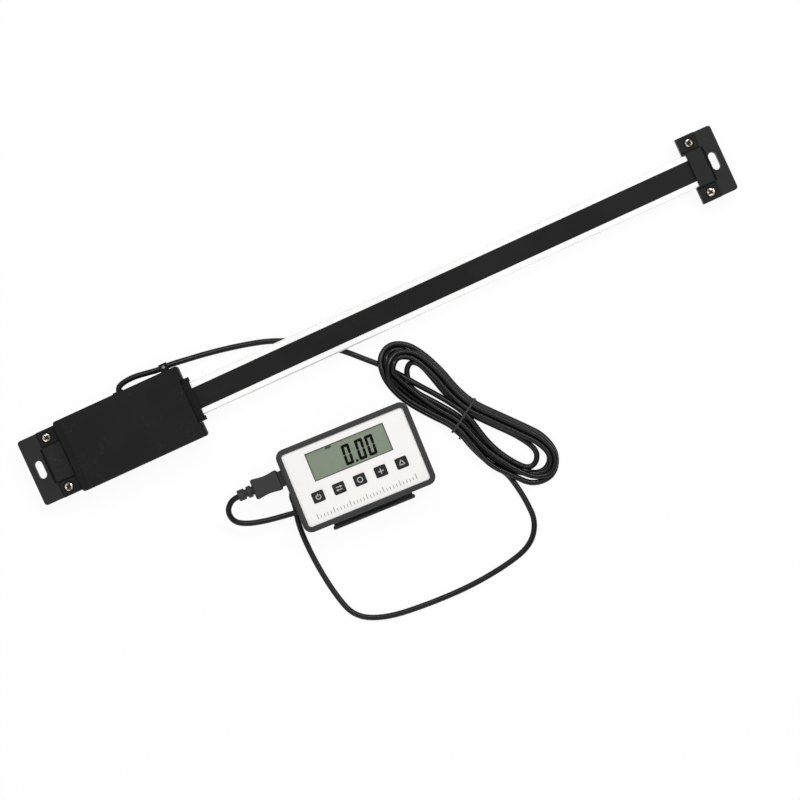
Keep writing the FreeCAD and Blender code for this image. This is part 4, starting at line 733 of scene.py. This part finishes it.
# %% The other four turns
TO_TIE = Vector((0.397, -0.918))
TURNS = [
    {"layer": 0, "right": 0.0, "left": (0.7, -0.2, -0.1, 0.7, 1.0, 3.0, 3.1, 2.3),
     "lower": (-0.6, -0.9, -0.9), "lower_layer": 0,
     "pull": -0.9, "upper_layer": 0, "lift": (3.4, 3.4, 1.7)},
    {"layer": 1, "right": -1.7, "left": (-1.2, -3.2, -3.0, -1.3, -0.95, 1.35, 1.45, 0.65),
     "lower": (-0.4, 0.5, -0.7), "lower_layer": 0.9,
     "pull": 3.1, "upper_layer": 1.0, "lift": (2.6, 2.4, 1.4)},
    {"layer": 1, "right": 1.7, "left": (1.9, 2.2, 2.9, 2.35, 2.35, 5.0, 7.2, 4.6),
     "lower": (1.2, 3.6, 2.6), "lower_layer": 1,
     "pull": 3.5, "upper_layer": 0.8, "lift": (2.8, 2.6, 1.4)},
    {"layer": 0, "right": 3.4, "left": (3.6, 3.6, 4.2, 3.8, 3.6, 6.2),
     "lower": (5.6, 4.8, 3.1), "lower_layer": 0.2,
     "pull": -0.9, "upper_layer": 0, "lift": (1.7, 4.7, 1.7)}]

for turn in TURNS:
    pull = turn["pull"] * TO_TIE
    lifts = turn["lift"]
    hank += [laid(point, out, turn["lower_layer"]) for point, out in zip(LOWER, turn["lower"])]
    hank += [laid(point, turn["right"], turn["layer"]) for point in RIGHT]
    hank += [laid(point, turn["right"], turn["upper_layer"], pull) for point in UPPER[:2]]
    hank.append(laid(UPPER[2], turn["right"], turn["upper_layer"], pull, lifts[0]))
    hank.append(laid(LEFT[0], turn["left"][0], turn["layer"], pull / 2, lifts[1]))
    hank.append(laid(LEFT[1], turn["left"][1], turn["layer"], STILL, lifts[2]))
    hank += [laid(point, out, turn["layer"]) for point, out in zip(LEFT[2:], turn["left"][2:])]
print(len(hank), "points in the hank")

# %% [markdown]
# A curve with a round bevel is the simplest cord: the points of the route are the poles of one spline, and
# the curve stays smooth through every turn. It takes the place of the three plain CAD pieces of the lead.

route = LEAD_ROUTE + hank + TAIL_ROUTE
curve = bpy.data.curves.new("lead_cord", "CURVE")
curve.dimensions = "3D"
curve.bevel_depth = CORD_R * MM
curve.bevel_resolution = 4
curve.resolution_u = 6
curve.use_fill_caps = True
spline = curve.splines.new("NURBS")
spline.points.add(len(route) - 1)
for knot, point in zip(spline.points, route):
    knot.co = (*(Vector(point) * MM), 1)
spline.order_u = 3
spline.use_endpoint_u = True
curve.materials.append(finishes["cord_black"])
cord = bpy.data.objects.new("lead_cord", curve)
scene.collection.objects.link(cord)
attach(cord, "reader")
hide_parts("cord_lead", "cord_hank", "cord_tail")
print(len(route), "points in the lead")

# %% [markdown]
# ## Readout's face
# The readout lies turned by a little over two degrees beside the beam. Its details are drawn in its own
# millimetres, with X along its face, and one matrix puts each mesh in its place. Small flat forms all
# start as a cube that is scaled to size, and a bevel on the upright edges makes their corners.

# %% Helpers for the readout's face
READOUT_AT = Vector((106.85, -73.0, 0)) * MM
READOUT_TURN = math.radians(-2.45)
READOUT = Matrix.Translation(READOUT_AT) @ Matrix.Rotation(READOUT_TURN, 4, "Z")


def add_bar(shape, middle, size, corner=0.0, turn=0.0, lean=0.0, segments=1):
    """A flat block on the readout's face, in millimetres, with its upright corners cut or rounded."""
    block = bmesh.new()
    bmesh.ops.create_cube(block, size=1.0)
    bmesh.ops.scale(block, vec=Vector(size) * MM, verts=block.verts)
    if corner:
        upright = [edge for edge in block.edges
                   if abs(edge.verts[0].co.z - edge.verts[1].co.z) > size[2] * MM / 2]
        bmesh.ops.bevel(block, geom=upright, offset=corner * MM, affect="EDGES", segments=segments,
                        profile=0.5, material=-1)
    bmesh.ops.rotate(block, cent=(0, 0, 0), matrix=Matrix.Rotation(turn, 3, "Z"), verts=block.verts)
    bmesh.ops.translate(block, vec=Vector(middle) * MM, verts=block.verts)
    slant = Matrix(((1, lean, 0, 0), (0, 1, 0, 0), (0, 0, 1, 0), (0, 0, 0, 1)))
    bmesh.ops.transform(block, matrix=slant, verts=block.verts)
    part = bpy.data.meshes.new("part")
    block.to_mesh(part)
    block.free()
    shape.from_mesh(part)
    bpy.data.meshes.remove(part)


def on_readout(name, shape, skin, body="reader"):
    """The finished piece, moved from the readout's own place to where it lies."""
    bmesh.ops.transform(shape, matrix=READOUT, verts=shape.verts)
    made = mesh_object(name, shape)
    made.data.materials.append(skin)
    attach(made, body)
    return made


print("readout's place and two helpers")

# %% [markdown]
# ## Plug
# The lead ends in a moulded plug. Its grip is a soft block with a waist for the fingers, so a cube is cut
# into slices along its length, a bevel rounds its edges, and each slice is drawn in to the width there.
# The strain relief behind it has two thick collars, a profile spun about the lead. Both take the place of
# the plainer CAD solids.

# %% Grip of the plug
PLUG_Y = 9.85
GRIP_X0, GRIP_X1 = -58.6, -42.4
GRIP_W, GRIP_H = 12.0, 8.0
WAIST_IN = 0.75
GRIP_ROUND = 1.3
COLLAR_SIZE = (2.2, 9.2, 6.0)
COLLAR_ROUND = 0.25
SLICES = 11
SHARP = 1.0

shape = bmesh.new()
bmesh.ops.create_cube(shape, size=1.0)
bmesh.ops.scale(shape, vec=Vector((GRIP_X1 - GRIP_X0, GRIP_W, GRIP_H)) * MM, verts=shape.verts)
lengthways = [edge for edge in shape.edges if abs(edge.verts[0].co.x - edge.verts[1].co.x) > MM]
bmesh.ops.subdivide_edges(shape, edges=lengthways, cuts=SLICES, use_grid_fill=True)
corners = [edge for edge in shape.edges if edge.calc_face_angle() > SHARP]
bmesh.ops.bevel(shape, geom=corners, offset=GRIP_ROUND * MM, affect="EDGES", segments=4, profile=0.5,
                material=-1)
for vert in shape.verts:
    along = vert.co.x / ((GRIP_X1 - GRIP_X0) / 2 * MM)
    narrow = WAIST_IN * (1 + math.cos(math.pi * along)) / 2
    bmesh.ops.scale(shape, vec=(1, 1 - 2 * narrow / GRIP_W, 1), verts=[vert])
bmesh.ops.translate(shape, vec=Vector(((GRIP_X0 + GRIP_X1) / 2, PLUG_Y, PLUG_Z)) * MM, verts=shape.verts)
add_bar(shape, (GRIP_X1 + COLLAR_SIZE[0] / 2, PLUG_Y, PLUG_Z), COLLAR_SIZE, COLLAR_ROUND, segments=2)
grip = on_readout("plug_grip", shape, plug_black)
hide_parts("plug_overmould")
print("plug's grip")

# %% Collars of the strain relief
RELIEF_LEN = 9.2
BORE_R, BORE_LEN = 1.75, 6.0
COLLARS = [
    (BORE_LEN, 0), (BORE_LEN, BORE_R), (0, BORE_R),
    (0, 2.9), (0.3, 3.2), (3.9, 3.3), (4.2, 3.0), (4.2, 2.3),
    (5.5, 2.3), (5.5, 3.1), (5.8, 3.4), (7.9, 3.45), (8.2, 3.15), (8.2, 2.5),
    (RELIEF_LEN, 2.5), (RELIEF_LEN, 0)]
AROUND = 32
MERGE = 0.001 * MM

shape = bmesh.new()
start = Vector((GRIP_X0 - RELIEF_LEN, PLUG_Y, PLUG_Z))
line = [shape.verts.new((start + Vector((x, radius, 0))) * MM) for x, radius in COLLARS]
geom = line + [shape.edges.new(pair) for pair in zip(line, line[1:])]
bmesh.ops.spin(shape, geom=geom, cent=start * MM, axis=(1, 0, 0), angle=2 * math.pi, steps=AROUND,
               use_merge=True)
bmesh.ops.remove_doubles(shape, verts=shape.verts, dist=MERGE)
relief = on_readout("plug_collars", shape, plug_black)
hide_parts("plug_relief")
print("strain relief with two collars")

# %% [markdown]
# The hank's tie is twisted shut, and its two cut ends stick out at the side. Each is a short block with
# rounded corners that sits in the tie or in its tail.

# %% Cut ends of the tie
TIE_ENDS = [(165.3, -77.6, 4.1), (167.6, -82.6, 4.1)]
TIE_END_SIZE = (2.0, 1.3, 1.2)
TIE_END_ROUND = 0.3
TIE_TURN = math.radians(31.9)

shape = bmesh.new()
for middle in TIE_ENDS:
    add_bar(shape, middle, TIE_END_SIZE, TIE_END_ROUND, turn=TIE_TURN, segments=2)
tie_ends = mesh_object("tie_ends", shape)
tie_ends.data.materials.append(finishes["tie_black"])
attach(tie_ends, "reader")
print(len(TIE_ENDS), "cut ends on the tie")

# %% [markdown]
# A cord is a fixed length of something flexible.

# %% [markdown]
# ## Display
# The display shows three figures and a point. Each figure is a nought of six bars with cut tips and a
# little room between them, as on any such display, and all lean the same way.

# %% Display figures
FIGURE_Z = 19.74
FIGURE_T = 0.04
SEGMENT_W = 1.6
SEGMENT_GAP = 0.1
FIGURE_LOW, FIGURE_HIGH = 2.65, 14.45
FIGURE_W = 4.8
LEAN = math.tan(math.radians(3.5))
FIGURE_MIDDLES = [-1.55, 6.55, 12.65]
TIP_SHARE = 0.34
POINT_X, POINT_DROP = 2.3, 0.2
POINT_SIZE, POINT_ROUND = 1.5, 0.3

figure_ink = moulded("figure_ink", (0.0012, 0.0013, 0.0012), 0.1, 0.5, 0.02, 2000, 0.002, 0.0)
shape = bmesh.new()
low = FIGURE_LOW + SEGMENT_W / 2
high = FIGURE_HIGH - SEGMENT_W / 2
half = (FIGURE_LOW + FIGURE_HIGH) / 2
side = (FIGURE_W - SEGMENT_W) / 2
bar_long = (high - low) / 2 + SEGMENT_W / 2 - SEGMENT_GAP
bar_wide = FIGURE_W - SEGMENT_W / 2
tip = SEGMENT_W * TIP_SHARE
for x in FIGURE_MIDDLES:
    foot = x - LEAN * half
    for y in (low, high):
        add_bar(shape, (foot, y, FIGURE_Z), (bar_wide, SEGMENT_W, FIGURE_T), tip, lean=LEAN)
    for across in (-side, side):
        for y in (half - SEGMENT_GAP / 2 - bar_long / 2, half + SEGMENT_GAP / 2 + bar_long / 2):
            add_bar(shape, (foot + across, y, FIGURE_Z), (SEGMENT_W, bar_long, FIGURE_T), tip, lean=LEAN)
add_bar(shape, (POINT_X, low - POINT_DROP, FIGURE_Z), (POINT_SIZE, POINT_SIZE, FIGURE_T), POINT_ROUND)
on_readout("display_figures", shape, figure_ink)
print("three figures and a point")

# %% [markdown]
# A thin dark line runs round the display where its plate meets the panel: it is painted shade of the
# panel's cut edge. A small minus sign stands above and before the figures. Both are as flat as the figures
# and share one grey.

# %% Display edge and minus sign
LCD_X, LCD_Y = -0.35, 9.4
LCD_W, LCD_H = 47.6, 16.5
EDGE_W = 0.4
MINUS_X, MINUS_Y = -10.35, 16.4
MINUS_W, MINUS_H, MINUS_ROUND = 3.7, 1.25, 0.25

shade_line_and_minus_grey = moulded("shade_line_and_minus_grey", (0.055, 0.065, 0.05), 0.1, 0.5, 0.2, 2000, 0.002, 0.0)
shape = bmesh.new()
# Painted shade: four thin dark bars along the panel's cut edge round the display.
for way in (-1, 1):
    add_bar(shape, (LCD_X, LCD_Y + way * (LCD_H - EDGE_W) / 2, FIGURE_Z), (LCD_W, EDGE_W, FIGURE_T))
    add_bar(shape, (LCD_X + way * (LCD_W - EDGE_W) / 2, LCD_Y, FIGURE_Z),
            (EDGE_W, LCD_H - 2 * EDGE_W, FIGURE_T))
add_bar(shape, (MINUS_X, MINUS_Y, FIGURE_Z), (MINUS_W, MINUS_H, FIGURE_T), MINUS_ROUND)
on_readout("display_edge", shape, shade_line_and_minus_grey)
print("display's edge and minus sign")

# %% [markdown]
# The window over the display is a thin clear pane with rounded corners. It lies a little above the figures,
# as on a real display, and takes the place of the CAD pane.

# %% Window pane
PANE_Z, PANE_T = 20.55, 0.5
PANE_GAP = 0.1
PANE_ROUND = 0.25

shape = bmesh.new()
pane_size = (LCD_W - 2 * PANE_GAP, LCD_H - 2 * PANE_GAP, PANE_T)
add_bar(shape, (LCD_X, LCD_Y, PANE_Z), pane_size, PANE_ROUND, segments=3)
pane = on_readout("window_pane", shape, finishes["window_clear"])
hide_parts("lcd_window")
print("clear pane")

# %% [markdown]
# ## Key signs
# Each key carries a plain sign in pale ink: a power mark, a pair of arrows, a nought, a plus and a
# triangle. They ride on the keys, so they go down with them.

# %% Helpers for the signs
INK_T = 0.04
LINE = 0.55
FULL_TURN = 2 * math.pi
RING_STEPS = 28


def add_ring(shape, middle, radius, start, sweep):
    """A flat ring or arc of the line's width, spun about its middle."""
    profile = [(radius + i * LINE / 2, 0, j * INK_T / 2) for i, j in ((-1, -1), (1, -1), (1, 1), (-1, 1))]
    verts = [shape.verts.new(Vector(corner) * MM) for corner in profile]
    geom = verts + [shape.edges.new((verts[i - 1], verts[i])) for i in range(4)]
    whole = sweep == FULL_TURN
    if not whole:
        geom.append(shape.faces.new(verts))
    bmesh.ops.rotate(shape, cent=(0, 0, 0), matrix=Matrix.Rotation(start, 3, "Z"), verts=verts)
    bmesh.ops.translate(shape, vec=Vector(middle) * MM, verts=verts)
    bmesh.ops.spin(shape, geom=geom, cent=Vector(middle) * MM, axis=(0, 0, 1), angle=sweep,
                   steps=RING_STEPS, use_merge=whole)


def add_triangle(shape, middle, radius, turn):
    """A flat triangle, as a cone of three sides with equal ends."""
    place = Matrix.Translation(Vector(middle) * MM) @ Matrix.Rotation(turn, 4, "Z")
    bmesh.ops.create_cone(shape, cap_ends=True, segments=3, radius1=radius * MM, radius2=radius * MM,
                          depth=INK_T * MM, matrix=place)


print("helpers for rings and triangles")

# %% How each sign is drawn
KEY_TOP = 21.7
INK_Z = KEY_TOP + INK_T / 2
SIGN_DROP = 0.1
POWER_R, POWER_START, POWER_SWEEP = 1.35, math.radians(125), math.radians(290)
STROKE_UP, STROKE_LEN = 0.9, 1.7
ARROW_LEN, ARROW_BACK, ARROW_ROW = 2.6, 0.4, 0.85
ARROW_TIP, ARROW_R = 1.2, 0.95
NOUGHT_R = 1.45
PLUS_HALF = 1.6
TRIANGLE_SIDE, TRIANGLE_OUT = 3.3, 0.95


def power_mark(shape, x, y):
    add_ring(shape, (x, y - SIGN_DROP, INK_Z), POWER_R, POWER_START, POWER_SWEEP)
    add_bar(shape, (x, y + STROKE_UP, INK_Z), (LINE, STROKE_LEN, INK_T))


def arrows(shape, x, y):
    for way in (-1, 1):
        row = y + way * ARROW_ROW
        add_bar(shape, (x - way * ARROW_BACK, row, INK_Z), (ARROW_LEN, LINE, INK_T))
        add_triangle(shape, (x + way * ARROW_TIP, row, INK_Z), ARROW_R, -way * math.pi / 2)


def nought(shape, x, y):
    add_ring(shape, (x, y, INK_Z), NOUGHT_R, 0.0, FULL_TURN)


def plus(shape, x, y):
    add_bar(shape, (x, y, INK_Z), (2 * PLUS_HALF, LINE, INK_T))
    for way in (-1, 1):
        middle = y + way * (PLUS_HALF + LINE / 2) / 2
        add_bar(shape, (x, middle, INK_Z), (LINE, PLUS_HALF - LINE / 2, INK_T))


def triangle(shape, x, y):
    for corner in range(3):
        turn = math.radians(120 * corner)
        across = x + TRIANGLE_OUT * math.sin(turn)
        up = y - TRIANGLE_OUT * math.cos(turn) - SIGN_DROP
        add_bar(shape, (across, up, INK_Z), (TRIANGLE_SIDE, LINE, INK_T), turn=turn)


SIGNS = (power_mark, arrows, nought, plus, triangle)
print(len(SIGNS), "signs")

# %% Signs on the keys
KEY_X, KEY_Y, KEY_PITCH = -0.3, -7.35, 12.696

sign_ink = moulded("sign_ink", (0.42, 0.42, 0.43), 0.08, 0.5, 0.3, 2000, 0.003, 0.05)
for number, draw in enumerate(SIGNS):
    shape = bmesh.new()
    draw(shape, KEY_X + (number - 2) * KEY_PITCH, KEY_Y)
    on_readout("key_sign_%d" % (number + 1), shape, sign_ink, "key_%d" % (number + 1))
print("a sign on each key")

# %% [markdown]
# ## Printed rule
# Under the keys the panel carries a plain rule in grey ink: a tick every two millimetres, and every fifth
# one longer. Each tick is a thin bar on the panel, so it is a shape as well as a colour.

# %% Rule on the panel
RULE_Y = -19.2
RULE_STEP = 2.0
RULE_HALF = 15
LONG_EVERY = 5
TICK_W, TICK_LONG, TICK_SHORT = 0.36, 3.2, 1.9
PANEL_TOP = 21.0
PRINT_T = 0.03

print_grey = moulded("print_grey", (0.16, 0.16, 0.165), 0.05, 0.5, 0.3, 2600, 0.003, 0.05)
shape = bmesh.new()
for count in range(-RULE_HALF, RULE_HALF + 1):
    tall = TICK_SHORT if count % LONG_EVERY else TICK_LONG
    middle = (KEY_X + count * RULE_STEP, RULE_Y + tall / 2, PANEL_TOP + PRINT_T / 2)
    add_bar(shape, middle, (TICK_W, tall, PRINT_T))
on_readout("printed_rule", shape, print_grey)
print(2 * RULE_HALF + 1, "ticks")
